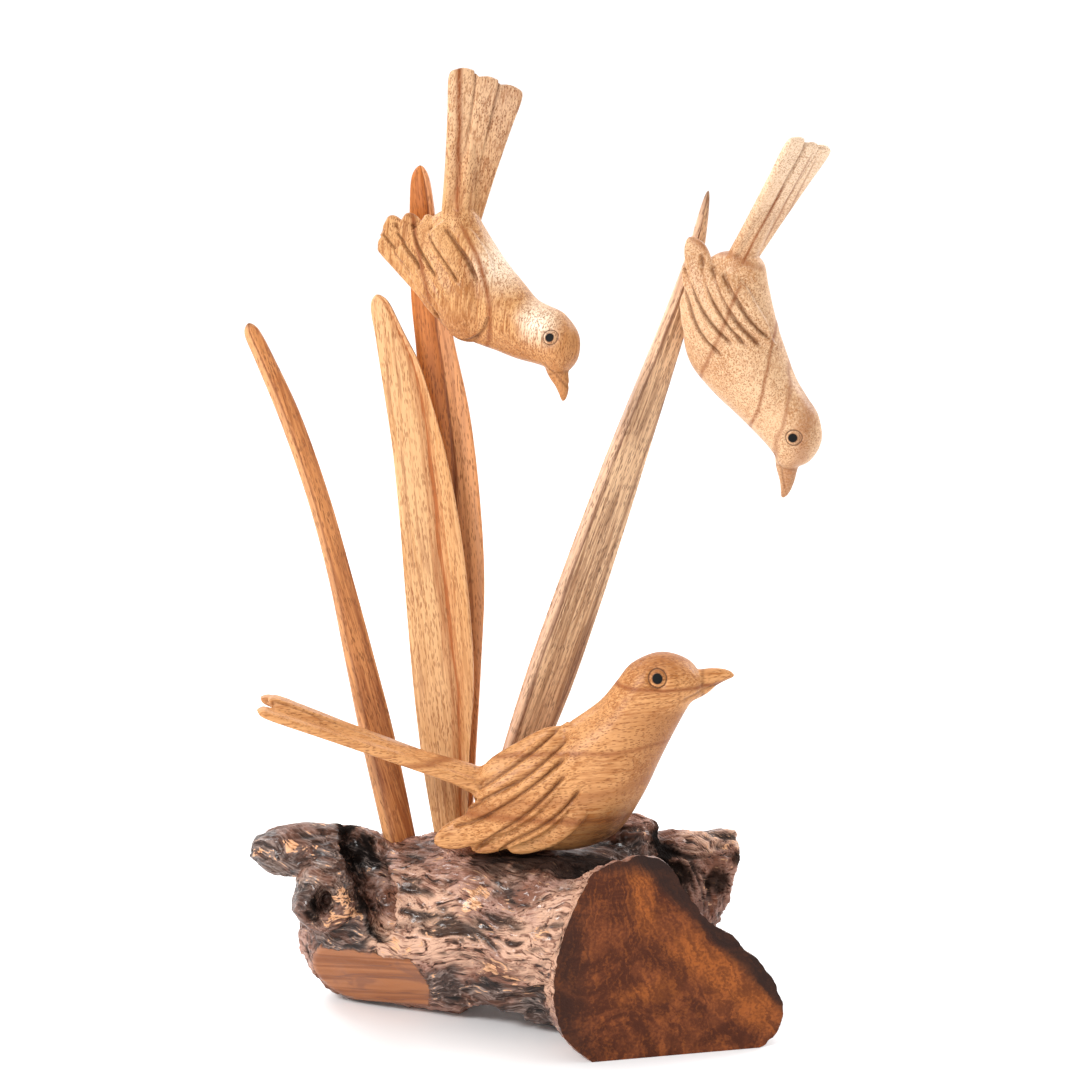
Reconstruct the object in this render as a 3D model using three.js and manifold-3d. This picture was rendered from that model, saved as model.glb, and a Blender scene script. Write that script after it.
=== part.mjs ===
// Carved group of three songbirds and four blade leaves on a natural root block.
// Millimetres, +Z up, the front of the work faces -Y, and the root stands on Z = 0.
import * as THREE from 'three';
import Module from 'manifold-3d';
import { mergeVertices } from 'three/addons/utils/BufferGeometryUtils.js';

const wasm = await Module();
wasm.setup();

// Driving dimensions
const gap = 0.3; // clearance between pieces that are glued together
const middleX = -1.7; // middle of the whole work, which becomes the origin
const middleY = -5.5;
const degree = Math.PI / 180;

// The three birds: where the middle of the body lies, how far the beak points down, how far it
// turns to the front, how far the back rolls to the front, the size, the root x and z of the tail,
// its length and breadth, its direction from +X towards +Z and its twist, how far the head lifts
// and the wings swing, and how long the wing in front and the hidden wing are
const perches = {
  bird_low: {
    place: [8, -12, 74.6], dive: 0, turn: 3, roll: 0, size: 1,
    tailFrom: [-20, 20], tailLong: 80, tailWide: 22, cock: 158.5, twist: 0,
    nod: 0, swing: 0, wings: [1, 1],
  },
  bird_left: {
    place: [-20.8, -3.8, 236], dive: 79, turn: 40, roll: -8, size: 0.78,
    tailFrom: [-20, 20], tailLong: 60, tailWide: 30.5, cock: 157, twist: 40,
    nod: 8, swing: 20, wings: [1, 0.9],
  },
  bird_right: {
    place: [61.3, 1, 220], dive: 103, turn: 38, roll: -4, size: 0.84,
    tailFrom: [-20, 16], tailLong: 57.5, tailWide: 23, cock: 159, twist: 0,
    nod: 0, swing: 12, wings: [0.9, 0.66],
  },
};

// One bird at size 1, beak along +X, back along +Z. Rows are back x and z, breast x and z, half width.
const birdMiddle = [0, 0, 20];
const bodyRows = [
  [-28, 20, -28, 20, 0],
  [-25.5, 26.6, -24, 8, 6.5],
  [-17.5, 30.1, -13, 1.2, 10.5],
  [-4.9, 36.5, 4.5, 0.7, 13.2],
  [4, 42.5, 17.5, 6.2, 14],
  [12.3, 48.8, 25.6, 18, 13],
  [17.5, 55.3, 31.8, 31.5, 11],
  [22.2, 61.1, 37.3, 42.7, 9.6],
  [30.9, 64.6, 40.8, 48.8, 8.8],
  [39.6, 62.3, 43.6, 50.8, 6.2],
  [44.6, 56.2, 44.6, 56.2, 0],
];
// Rows from here on are x, y, z, half width, half depth
const beakRows = [
  [36, 0, 54, 5, 6.6],
  [42.5, 0, 54.3, 3.8, 4.9],
  [47.4, 0, 55.9, 2.8, 3.3],
  [51.2, 0, 56.4, 1.7, 2.1],
  [54.2, 0, 55.9, 0, 0],
];
const eyeSpot = [29.6, 8.7, 57.8];
const neckSpot = [23, 0, 44]; // the head lifts about this point, and blends in over neckBlend
const neckBlend = 16;
const eyeTilt = 14 * degree; // the side of the head faces a little upwards
const eyeRing = 2.7; // radius of the groove round the eye
const eyeGroove = 0.6; // its half width and depth
const featherEnds = [
  // root x and z, tip x and z, lean of the feather's face, sag below the chord
  [5, 41, -25, 24, 0.8, 0.5],
  [5, 38.5, -28, 19.5, 0.65, 1.5],
  [5.5, 35.5, -31.5, 13, 0.55, 2.4],
  [6, 31.5, -39, 4.6, 0.45, 2.8],
  [9, 27.5, -28, 0.8, 0.3, 2.8],
  [12, 25, -15, 0.8, 0.15, 2.2],
];
const featherWide = 4.4;
const featherDeep = 1.5;
const featherSink = 0.5; // how far the middle of a feather lies below the flank
const wingTipOut = 8.5; // how far the wing tips stand from the middle of the bird
const tailArch = 3.2; // how far the outer feathers drop below the middle one
const tailFeathers = 5;
const stemSteps = [[0, 5.6, 5.2], [12, 4.8, 4], [26, 4.6, 2.2], [36, 0, 0]]; // distance, half sizes

// Leaves. Rows are x, y, z, half width, half thickness. The crease is the place of the midrib
// from -1 at the left edge to 1 at the right, fold is the rise of the edges, turn is in degrees.
const leaves = {
  leaf_left: {
    rows: [
      [-41.5, 8, 42, 5, 2.2], [-43.5, 8, 52.5, 5.1, 2.2], [-50.1, 8, 85.1, 5.4, 2.2],
      [-55.7, 8, 111.3, 4.7, 2.1], [-61.4, 8, 137.4, 3.8, 1.9], [-68, 8, 163.2, 3.5, 1.8],
      [-76.4, 8, 188.7, 3.4, 1.7], [-84.3, 8, 207.7, 2.7, 1.5], [-89.3, 8, 219.3, 0, 0],
    ],
    crease: -0.45, fold: -0.3, turn: 6,
  },
  leaf_centre: {
    rows: [
      [-26.9, 7, 43, 5, 2.2], [-27.2, 7, 53.9, 5.1, 2.2], [-28.7, 7.4, 78.5, 7.4, 2.2],
      [-29.2, 7.6, 104.8, 9.7, 2.1], [-30.9, 7.8, 130.9, 10, 2], [-33.4, 8, 156.7, 9.3, 1.9],
      [-36.6, 8, 179.2, 8.1, 1.8], [-40.7, 8, 198.2, 6.6, 1.7], [-45.3, 8, 214, 4.7, 1.6],
      [-49.3, 8, 228.3, 0, 0],
    ],
    crease: 0.3, fold: 0.22, turn: 0,
  },
  leaf_back: {
    rows: [
      [-24.5, 16.5, 42, 4, 2.2], [-24.8, 16, 51.5, 4.4, 2.2], [-24.8, 15.8, 79.6, 6, 2.2],
      [-24.6, 15.6, 109.5, 7.6, 2.1], [-24.5, 15.4, 135.7, 8.6, 2], [-25.8, 15.2, 161.7, 8.6, 1.9],
      [-28, 15, 187.5, 7.9, 1.8], [-31, 14.8, 209.8, 6.3, 1.8], [-33.2, 14.6, 225.6, 5.5, 1.7],
      [-34.6, 14.4, 241.4, 4.8, 1.6], [-35.2, 14.2, 254.9, 4.2, 1.5], [-35.6, 14, 267.8, 0, 0],
    ],
    crease: 0.25, fold: 0.22, turn: -8,
  },
  leaf_right: {
    rows: [
      [-15.4, 10, 42, 4.8, 2.2], [-12.1, 10, 53.3, 5.2, 2.2], [-4.2, 10, 77.9, 6.3, 2.3],
      [5.1, 10, 104.3, 7.5, 2.3], [13.9, 10, 130.4, 7.4, 2.2], [22.5, 10, 156.3, 6.8, 2.1],
      [31, 10, 182, 5.9, 2], [38.6, 10, 204.2, 4.9, 1.9], [44.9, 10, 223.1, 3.9, 1.7],
      [49.8, 10, 240.8, 2.6, 1.4], [53.6, 10, 260.4, 0, 0],
    ],
    crease: -0.5, fold: -0.3, turn: 10,
  },
};

// Root block. Rows are x, y, z, half width, half depth.
const trunkRows = [
  [-76, 12, 17, 0, 0],
  [-60, 9, 20, 22, 21],
  [-34, 2, 26.5, 27, 28],
  [-4, -10, 28, 29, 28],
  [22, -32, 31, 27, 31],
  [40, -58, 32, 24, 30],
  [48, -76, 32, 0, 0],
];
const rootLimbs = [
  { // charred stub, upper left
    rows: [[-38, 8, 30, 12, 14], [-54, 6, 42, 13, 13], [-70, 4, 49, 12, 9.5], [-84, 4, 49.5, 11, 8],
      [-91.5, 4, 48, 0, 0]],
    around: 12, along: 8,
  },
  { // lobe that hangs from it
    rows: [[-63, 4, 48, 10, 10], [-64, -4, 43, 11, 11], [-65, -12, 38, 10.5, 10.5],
      [-66, -18, 35, 8.5, 8.5], [-66, -19.5, 34.5, 0, 0]],
    around: 10, along: 7,
  },
  { // knob behind the low bird
    rows: [[10, -4, 30, 17, 18], [20, -2, 40, 15, 16], [28, 2, 49, 11.5, 13], [31.5, 5, 57, 8.5, 8.5],
      [32.5, 6, 61.5, 0, 0]],
    around: 12, along: 8,
  },
  { // broken stub, rear right
    rows: [[18, 4, 28, 18, 20], [36, 9, 32, 16, 20], [52, 14, 36, 14, 17], [66, 18, 39, 13, 14],
      [76, 21, 41, 0, 0]],
    around: 12, along: 8,
  },
  { // heel at the back left
    rows: [[-40, 10, 20, 20, 20], [-34, 24, 18, 19, 20], [-28, 36, 14, 14, 16], [-24, 42, 12, 0, 0]],
    around: 12, along: 8,
  },
];
const sparRows = [[-52, 8, 48, 4, 3], [-56, 8, 54, 3.4, 2], [-59, 8, 57.5, 2, 1.2], [-61, 8, 58.5, 0, 0]];
const hollows = [
  { // crevice between the lobe and the trunk
    rows: [[-60, 8, 60, 1, 1], [-57, 0, 51, 4, 6], [-51, -12, 43, 4.5, 8], [-48, -23, 35, 3.5, 6],
      [-48, -32, 29, 0, 0]],
    around: 8, along: 6, across: [1, 0, 0.4],
  },
  { // pit in the end of the lobe
    rows: [[-66, -25, 35, 0, 0], [-66, -20, 35.5, 5, 6], [-65.5, -15, 36.5, 0, 0]],
    around: 8, along: 5, across: [1, 0, 0],
  },
  { // low arch under the trunk
    rows: [[-14, -70, -6, 0, 0], [-13, -40, -2, 12, 9], [-11, -10, -2, 13, 10], [-9, 20, -3, 12, 8],
      [-8, 60, -6, 0, 0]],
    around: 12, along: 6, across: [1, 0, 0],
  },
];
// The flat seat of the low bird, in a shallow hollow of the trunk
const seatHeight = 54.4;
const seatRows = [
  [-38, -12, 61, 0, 0],
  [-31, -12, 61, 13, 11],
  [-12, -12, 61, 17, 13],
  [10, -12, 61, 17, 13],
  [23, -12, 61, 12, 9],
  [31, -12, 63, 0, 0],
];
// The planed face at the lower left, and the break of the rear stub: a point and the way it faces
const planedSpot = [-32, -27, 23];
const planedFacing = [-0.36, -0.81, -0.47];
const breakSpot = [62.8, 20, 45];
const breakFacing = [0.95, 0.15, -0.28];

// The sawn face at the front right: a point of its foot, its turn to the right and its lean back
const sawFoot = [19, -55.1, 0];
const sawTurn = 14 * degree;
const sawLean = 8 * degree;
// Outline of the sawn face, along its foot and up it
const sawOutline = [
  [0, -2], [-8.2, 5.8], [-10.6, 14.2], [-11, 26], [-9.4, 36.3], [-5.9, 45.9], [-2.5, 52.6],
  [1.5, 60], [12, 62], [20.8, 62.3], [24.5, 60], [27, 55.4], [37.8, 41.2], [48.4, 29.7],
  [57, 22.5], [61.5, 16.4], [63, 8], [61, 0], [57, -2],
];
const buttressDeep = 52; // how far the buttress behind the sawn face runs back
const buttressTaper = 0.55; // what is left of its breadth there

const barkColour = 0x4a2f22;
const leafColour = 0xc98d55;
const birdColour = 0xdfb07a;

// Turns a geometry into a solid, with its faces pointing out
function solidOf(geometry) {
  const bare = geometry.clone();
  bare.deleteAttribute('normal');
  bare.deleteAttribute('uv');
  const merged = mergeVertices(bare, 1e-4);
  const vertProperties = new Float32Array(merged.attributes.position.array);
  const triVerts = new Uint32Array(merged.index.array);
  if (signedVolume(vertProperties, triVerts) < 0) {
    for (let i = 0; i < triVerts.length; i += 3) {
      [triVerts[i], triVerts[i + 1]] = [triVerts[i + 1], triVerts[i]];
    }
  }
  return new wasm.Manifold(new wasm.Mesh({ numProp: 3, vertProperties, triVerts }));
}

function signedVolume(points, corners) {
  const [a, b, c] = [new THREE.Vector3(), new THREE.Vector3(), new THREE.Vector3()];
  let total = 0;
  for (let i = 0; i < corners.length; i += 3) {
    a.fromArray(points, corners[i] * 3);
    b.fromArray(points, corners[i + 1] * 3);
    c.fromArray(points, corners[i + 2] * 3);
    total += a.dot(b.cross(c));
  }
  return total / 6;
}

function meshOf(name, solid, colour, roughness) {
  const { vertProperties, triVerts } = solid.getMesh();
  const geometry = new THREE.BufferGeometry();
  geometry.setAttribute('position', new THREE.BufferAttribute(vertProperties, 3));
  geometry.setIndex(new THREE.BufferAttribute(triVerts, 1));
  const material = new THREE.MeshStandardMaterial({ color: colour, roughness, metalness: 0 });
  const mesh = new THREE.Mesh(geometry, material);
  mesh.name = name;
  return mesh;
}

function joined(solids) {
  return solids.reduce((whole, solid) => whole.add(solid));
}

// Lifts the head of a bird about its neck by an angle in degrees
function nodded(spot, nod) {
  const fromNeck = (spot.x - neckSpot[0]) * 0.5 + (spot.z - neckSpot[2]) * 0.87;
  const share = THREE.MathUtils.smoothstep(fromNeck, -neckBlend / 2, neckBlend / 2);
  const angle = nod * degree * share;
  const [x, z] = [spot.x - neckSpot[0], spot.z - neckSpot[2]];
  return new THREE.Vector3(
    neckSpot[0] + x * Math.cos(angle) - z * Math.sin(angle), spot.y,
    neckSpot[2] + x * Math.sin(angle) + z * Math.cos(angle));
}

function moved(solid, matrix) {
  return solid.transform(matrix.elements);
}

const round = (angle, wide, deep) => [wide * Math.cos(angle), deep * Math.sin(angle)];

// Section of a folded leaf blade: thin, with a midrib crease and rounded edges
function blade(crease, fold) {
  return (angle, wide, deep) => {
    const across = Math.cos(angle);
    const thick = Math.sign(Math.sin(angle)) * Math.abs(Math.sin(angle)) ** 0.6;
    const shifted = across + crease * (1 - across * across);
    return [wide * shifted, deep * thick - fold * wide * (Math.abs(across) - 0.5)];
  };
}

// A smooth curve through evenly spaced rows of up to three numbers
function course(rows) {
  const points = rows.map(([x, y = 0, z = 0]) => new THREE.Vector3(x, y, z));
  return new THREE.CatmullRomCurve3(points, false, 'catmullrom');
}

// A sphere whose poles go to the two ends of a body: place gives each point from how far along
// it lies (0 to 1) and its angle round the body, which is null at a pole
function wrapped(around, along, place) {
  const geometry = new THREE.SphereGeometry(1, around, along);
  const point = geometry.attributes.position;
  for (let i = 0; i < point.count; i++) {
    const [x, y, z] = [point.getX(i), point.getY(i), point.getZ(i)];
    const spot = place((1 - y) / 2, Math.hypot(x, z) < 1e-6 ? null : Math.atan2(z, x));
    point.setXYZ(i, spot.x, spot.y, spot.z);
  }
  return solidOf(geometry);
}

// A closed body along a smooth spine. Each row is x, y, z, half width, half depth.
function limb(rows, form = {}) {
  const { around = 10, along = 8, across = [0, 1, 0], shape = round, gnarl = 0, nod = 0 } = form;
  const spine = course(rows);
  const girth = course(rows.map(([, , , wide, deep]) => [wide ** 2, deep ** 2]));
  return wrapped(around, along, (t, angle) => {
    const here = spine.getPoint(t);
    if (angle === null) {
      return nodded(here, nod);
    }
    const tangent = spine.getTangent(t);
    const side = new THREE.Vector3(...across);
    side.addScaledVector(tangent, -side.dot(tangent)).normalize();
    const front = tangent.clone().cross(side);
    const size = girth.getPoint(t);
    const bump = 1 + gnarl * (Math.sin(3 * angle + 11 * t) + Math.sin(5 * angle - 17 * t));
    const [a, b] = shape(angle, Math.sqrt(Math.max(size.x, 0)), Math.sqrt(Math.max(size.y, 0)));
    return nodded(here.addScaledVector(side, a * bump).addScaledVector(front, b * bump), nod);
  });
}

const backLine = course(bodyRows.map(([x, z]) => [x, 0, z]));
const breastLine = course(bodyRows.map(([, , x, z]) => [x, 0, z]));
const bodyGirth = course(bodyRows.map((row) => [row[4] ** 2]));

// The bird's body: oval sections between the line of the back and the line of the breast
function birdBody(nod) {
  return wrapped(14, 15, (t, angle) => {
    const back = backLine.getPoint(t);
    const breast = breastLine.getPoint(t);
    const middle = back.clone().add(breast).multiplyScalar(0.5);
    if (angle === null) {
      return nodded(middle, nod);
    }
    const wide = Math.sqrt(Math.max(bodyGirth.getPoint(t).x, 0));
    middle.addScaledVector(back.sub(breast), Math.sin(angle) / 2);
    return nodded(middle.setY(wide * Math.cos(angle)), nod);
  });
}

// Half width of the bird's body beside a point x, z of its side view
function flank(x, z) {
  let widest = 0;
  for (let step = 1; step < 60; step++) {
    const back = backLine.getPoint(step / 60);
    const breast = breastLine.getPoint(step / 60);
    const half = back.distanceTo(breast) / 2;
    const middle = back.add(breast).multiplyScalar(0.5);
    const reach = Math.hypot(x - middle.x, z - middle.z) / half;
    if (reach < 1) {
      const wide = Math.sqrt(Math.max(bodyGirth.getPoint(step / 60).x, 0));
      widest = Math.max(widest, wide * Math.sqrt(1 - reach * reach));
    }
  }
  return widest;
}

// One wing: long feathers that overlap like shingles, on the flank given by side (-1 or 1)
function wing(side, swing, length) {
  const shoulder = new THREE.Vector2(6, 33);
  return featherEnds.map(([rootX, rootZ, fullX, fullZ, lean, sag]) => {
    const tipX = THREE.MathUtils.lerp(rootX, fullX, length);
    const tipZ = THREE.MathUtils.lerp(rootZ, fullZ, length);
    const rows = [0, 0.25, 0.55, 0.9, 1].map((t) => {
      const straight = new THREE.Vector2(
        THREE.MathUtils.lerp(rootX, tipX, t) - sag * Math.sin(Math.PI * t) * 0.5,
        THREE.MathUtils.lerp(rootZ, tipZ, t) - sag * Math.sin(Math.PI * t) * 0.8);
      const [x, z] = straight.rotateAround(shoulder, swing * degree).toArray();
      const out = Math.max(flank(x, z) - featherSink, THREE.MathUtils.lerp(1, wingTipOut, t));
      const full = t === 1 ? 0 : THREE.MathUtils.lerp(0.7, 1, t);
      const sunk = t === 0 ? featherDeep : 0;
      return [x, side * (out - sunk), z, featherWide * full, featherDeep * full];
    });
    return limb(rows, { around: 6, along: 5, across: [-0.55, -side * lean, 0.83] });
  });
}

// The thick root of the tail, from inside the body
function tailStem({ tailFrom: [x, z], cock }) {
  const rows = stemSteps.map(([reach, wide, deep]) => [
    x + reach * Math.cos(cock * degree), 0, z + reach * Math.sin(cock * degree), wide, deep]);
  return limb([[x + 9, 0, z - 1.5, 7, 7.5], ...rows], { around: 8, along: 5 });
}

// The tail: narrow feathers side by side in an arched fan with rounded tips
function tail({ tailFrom: [x, z], tailLong, tailWide, cock, twist }) {
  const back = new THREE.Vector3(Math.cos(cock * degree), 0, Math.sin(cock * degree));
  const rise = new THREE.Vector3(back.z, 0, -back.x).applyAxisAngle(back, -twist * degree);
  const wideAxis = new THREE.Vector3().crossVectors(back, rise);
  const half = (tailFeathers - 1) / 2;
  return Array.from({ length: tailFeathers }, (_, i) => {
    const spread = (i - half) / half;
    const reach = tailLong * (1 - 0.05 * spread * spread);
    const feather = tailWide / tailFeathers;
    const rows = [0, 0.35, 0.7, 0.94, 1].map((t) => {
      const spot = new THREE.Vector3(x, 0, z).addScaledVector(back, reach * t);
      spot.addScaledVector(rise, -tailArch * spread * spread * t);
      const wide = t === 1 ? 0 : THREE.MathUtils.lerp(1.6, feather * 0.72, t);
      const deep = t === 1 ? 0 : THREE.MathUtils.lerp(2, 1.2, t);
      spot.addScaledVector(wideAxis, -spread * THREE.MathUtils.lerp(2.2, (tailWide - feather) / 2, t));
      return [...spot, wide, deep];
    });
    return limb(rows, { around: 6, along: 4, across: wideAxis.toArray() });
  });
}

// The carved ring round an eye, as the tool that cuts it
function eyeTool(side, nod) {
  const profile = [[-eyeGroove, 0.8], [0, -eyeGroove], [eyeGroove, 0.8], [-eyeGroove, 0.8]];
  const ring = new THREE.LatheGeometry(profile.map(([out, up]) => new THREE.Vector2(eyeRing + out, up)), 10);
  ring.rotateX(eyeTilt);
  if (side < 0) {
    ring.scale(1, -1, 1);
  }
  const spot = nodded(new THREE.Vector3(...eyeSpot), nod);
  return solidOf(ring.translate(spot.x, side * spot.y, spot.z));
}

function bird(form) {
  const { place, dive, turn, roll, size, nod, swing, wings: [near, far] } = form;
  const beak = limb(beakRows, { around: 8, along: 5, nod });
  const wings = [...wing(-1, swing, near), ...wing(1, swing, far)];
  let carved = joined([birdBody(nod), beak, tailStem(form), ...wings, ...tail(form)]);
  carved = carved.subtract(eyeTool(-1, nod)).subtract(eyeTool(1, nod));
  const pose = new THREE.Matrix4().makeTranslation(...place)
    .multiply(new THREE.Matrix4().makeRotationZ(-turn * degree))
    .multiply(new THREE.Matrix4().makeRotationY(dive * degree))
    .multiply(new THREE.Matrix4().makeRotationX(roll * degree))
    .multiply(new THREE.Matrix4().makeScale(size, size, size))
    .multiply(new THREE.Matrix4().makeTranslation(...birdMiddle.map((value) => -value)));
  return moved(carved, pose);
}

function leaf({ rows, crease, fold, turn }, clearance = 0) {
  const across = [Math.cos(turn * degree), Math.sin(turn * degree), 0];
  const fuller = rows.map(([x, y, z, wide, deep], i) => {
    const extra = i === rows.length - 1 ? 0 : clearance;
    return [x, y, z - (i === 0 ? clearance : 0), wide + extra, deep + extra];
  });
  return limb(fuller, { around: 10, along: 13, across, shape: blade(crease, fold) });
}

// A wide slab below z = 0 turned and moved by a matrix, which cuts the root flat
function cutter(matrix) {
  const slab = new THREE.BoxGeometry(400, 400, 200).translate(0, 0, -100);
  return moved(solidOf(slab), matrix);
}

// A flat cut through a spot, taking away what lies on the side that it faces
function flatCut(spot, facing) {
  const turn = new THREE.Quaternion().setFromUnitVectors(
    new THREE.Vector3(0, 0, -1), new THREE.Vector3(...facing).normalize());
  return cutter(new THREE.Matrix4().compose(new THREE.Vector3(...spot), turn, new THREE.Vector3(1, 1, 1)));
}

// The buttress behind the sawn face: its outline, run back with a taper
function buttress() {
  const outline = new THREE.Shape(sawOutline.map(([along, up]) => new THREE.Vector2(along, up)));
  const run = new THREE.ExtrudeGeometry(outline, { depth: 1, steps: 4, bevelEnabled: false });
  const point = run.attributes.position;
  for (let i = 0; i < point.count; i++) {
    const back = point.getZ(i);
    const keep = 1 - (1 - buttressTaper) * back ** 1.3;
    const along = -4 + (point.getX(i) + 4) * keep;
    const up = 24 + (point.getY(i) - 24) * (1 - 0.3 * back);
    point.setXYZ(i, along, up, -back * buttressDeep);
  }
  const face = new THREE.Matrix4().makeTranslation(...sawFoot)
    .multiply(new THREE.Matrix4().makeRotationZ(sawTurn))
    .multiply(new THREE.Matrix4().makeRotationX(Math.PI / 2 - sawLean));
  return moved(solidOf(run), face);
}

function rootBlock() {
  const planed = flatCut(planedSpot, planedFacing);
  const trunk = limb(trunkRows, { around: 18, along: 12, gnarl: 0.02 }).subtract(planed);
  const limbs = rootLimbs.map(({ rows, around, along }) => limb(rows, { around, along, gnarl: 0.03 }));
  limbs[3] = limbs[3].subtract(flatCut(breakSpot, breakFacing));
  const spar = limb(sparRows, { around: 6, along: 4 });
  let block = joined([trunk, buttress(), ...limbs, spar]);
  for (const { rows, ...form } of hollows) {
    block = block.subtract(limb(rows, form));
  }
  const saw = cutter(new THREE.Matrix4().makeTranslation(...sawFoot)
    .multiply(new THREE.Matrix4().makeRotationZ(sawTurn))
    .multiply(new THREE.Matrix4().makeRotationX(-Math.PI / 2 - sawLean)));
  return block.subtract(levelCut(0)).subtract(saw);
}

function levelCut(height) {
  return cutter(new THREE.Matrix4().makeTranslation(0, 0, height));
}

const birds = Object.fromEntries(Object.entries(perches).map(([name, perch]) => [name, bird(perch)]));
const blades = Object.fromEntries(Object.entries(leaves).map(([name, form]) => [name, leaf(form)]));
let root = rootBlock();
for (const form of Object.values(leaves)) {
  root = root.subtract(leaf(form, 1.6 * gap));
}
const seat = limb(seatRows, { around: 12, along: 8 }).subtract(levelCut(seatHeight - gap));
root = root.subtract(seat);
birds.bird_low = birds.bird_low.subtract(levelCut(seatHeight));
birds.bird_left = birds.bird_left.subtract(leaf(leaves.leaf_back, 1.2 * gap));
birds.bird_right = birds.bird_right.subtract(leaf(leaves.leaf_right, 1.2 * gap));

const carving = new THREE.Group();
carving.add(meshOf('root_base', root, barkColour, 0.55));
for (const [name, solid] of Object.entries(blades)) {
  carving.add(meshOf(name, solid, leafColour, 0.5));
}
for (const [name, solid] of Object.entries(birds)) {
  carving.add(meshOf(name, solid, birdColour, 0.45));
}
carving.position.set(-middleX, -middleY, 0);

export default carving;
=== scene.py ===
import math

import bmesh
import bpy
import numpy as np
from mathutils import Euler, Matrix, Vector, noise


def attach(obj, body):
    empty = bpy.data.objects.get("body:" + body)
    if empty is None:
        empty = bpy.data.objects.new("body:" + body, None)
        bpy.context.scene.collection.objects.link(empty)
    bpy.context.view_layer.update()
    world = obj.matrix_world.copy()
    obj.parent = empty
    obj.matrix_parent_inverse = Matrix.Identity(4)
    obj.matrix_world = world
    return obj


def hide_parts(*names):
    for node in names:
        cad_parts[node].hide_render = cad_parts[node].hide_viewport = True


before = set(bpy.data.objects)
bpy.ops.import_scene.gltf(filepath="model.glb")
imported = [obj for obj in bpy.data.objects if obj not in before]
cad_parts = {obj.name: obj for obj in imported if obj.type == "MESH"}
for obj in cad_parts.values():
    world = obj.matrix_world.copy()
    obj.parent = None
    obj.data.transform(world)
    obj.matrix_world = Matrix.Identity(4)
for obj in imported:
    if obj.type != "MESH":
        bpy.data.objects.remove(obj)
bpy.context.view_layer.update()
noise.seed_set(5)  # the bark then comes out the same each time

mm = 0.001
middle = Vector((-1.7, -5.5, 0))  # what the rows below are measured from, to the frame's origin

# Camera, floor and light

view = {
    "target": (3.2, 5.5, 152),
    "distance": 1125,
    "elevation": 12,
    "lens": 119.8,
    "skyBehind": 1.85,
    "skyBefore": 0.38,
    "floor": (0.94, 0.94, 0.945),
}


def makeCamera():
    lens = bpy.data.cameras.new("photoCamera")
    lens.lens = view["lens"]
    lens.sensor_width = 36
    camera = bpy.data.objects.new("photoCamera", lens)
    bpy.context.scene.collection.objects.link(camera)
    tilt = math.radians(view["elevation"])
    target = Vector(view["target"]) * mm
    camera.location = target + view["distance"] * mm * Vector((0, -math.cos(tilt), math.sin(tilt)))
    camera.rotation_euler = (target - camera.location).to_track_quat("-Z", "Y").to_euler()
    bpy.context.scene.camera = camera


def makeLamp(name, place, size, power, colour=(1, 1, 1), aim=(0, 0, 130)):
    light = bpy.data.lights.new(name, "AREA")
    light.shape = "DISK"
    light.size = size * mm
    light.energy = power
    light.color = colour
    lamp = bpy.data.objects.new(name, light)
    bpy.context.scene.collection.objects.link(lamp)
    lamp.location = Vector(place) * mm
    lamp.rotation_euler = ((Vector(aim) - Vector(place)) * mm).to_track_quat("-Z", "Y").to_euler()


def makeStage():
    bm = bmesh.new()
    bmesh.ops.create_grid(bm, x_segments=1, y_segments=1, size=14)
    floor = finishMesh(bm, "floor", [plainPaint("floorPaint", view["floor"])], smooth=False)
    world = bpy.data.worlds.new("studio")
    world.use_nodes = True
    tree = world.node_tree
    parts = node(tree, "SeparateXYZ")
    feed(tree, parts.inputs[0], node(tree, "TexCoord").outputs["Generated"])
    sky = spread(tree, parts.outputs[1], -0.9, 0.9, view["skyBefore"], view["skyBehind"])
    feed(tree, tree.nodes["Background"].inputs["Strength"], sky)
    tree.nodes["Background"].inputs["Color"].default_value = (1, 1, 1, 1)
    bpy.context.scene.world = world
    bpy.context.scene.view_settings.view_transform = "Standard"
    makeLamp("keyLamp", (-800, -750, 900), 400, 13)
    makeLamp("fillLamp", (-250, -1100, 260), 400, 2, aim=(0, 0, 50))
    makeLamp("backLampLeft", (-600, 700, 900), 500, 5)
    makeLamp("backLampRight", (800, 500, 700), 500, 6)


# Meshes

def finishMesh(bm, name, materials, smooth=True):
    mesh = bpy.data.meshes.new(name)
    bm.to_mesh(mesh)
    bm.free()
    for material in materials:
        mesh.materials.append(material)
    if smooth:
        mesh.shade_smooth()
    piece = bpy.data.objects.new(name, mesh)
    bpy.context.scene.collection.objects.link(piece)
    return piece


def course(rows):
    # Evenly spaced Catmull-Rom curve through rows of numbers
    points = np.array(rows, float)
    points = np.vstack([2 * points[0] - points[1], points, 2 * points[-1] - points[-2]])

    def at(t):
        place = min(max(t, 0.0), 1.0) * (len(points) - 3)
        i = min(int(place), len(points) - 4)
        w = place - i
        a, b, c, d = points[i:i + 4]
        return 0.5 * (2 * b + (c - a) * w + (2 * a - 5 * b + 4 * c - d) * w * w
                      + (3 * b - a - 3 * c + d) * w ** 3)

    return at


def wrapped(bm, around, along, place):
    # A ball whose poles go to the two ends of a body, with place(t, angle) giving each point
    ball = bmesh.ops.create_uvsphere(bm, u_segments=around, v_segments=along, radius=1)["verts"]
    for vert in ball:
        x, y, z = vert.co
        angle = None if math.hypot(x, y) < 1e-5 else math.atan2(y, x)
        vert.co = place((1 - z) / 2, angle)
    bm.normal_update()
    bmesh.ops.recalc_face_normals(bm, faces=list({face for vert in ball for face in vert.link_faces}))
    return ball


def roundShape(angle, t, wide, deep):
    return wide * math.cos(angle), deep * math.sin(angle)


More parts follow.
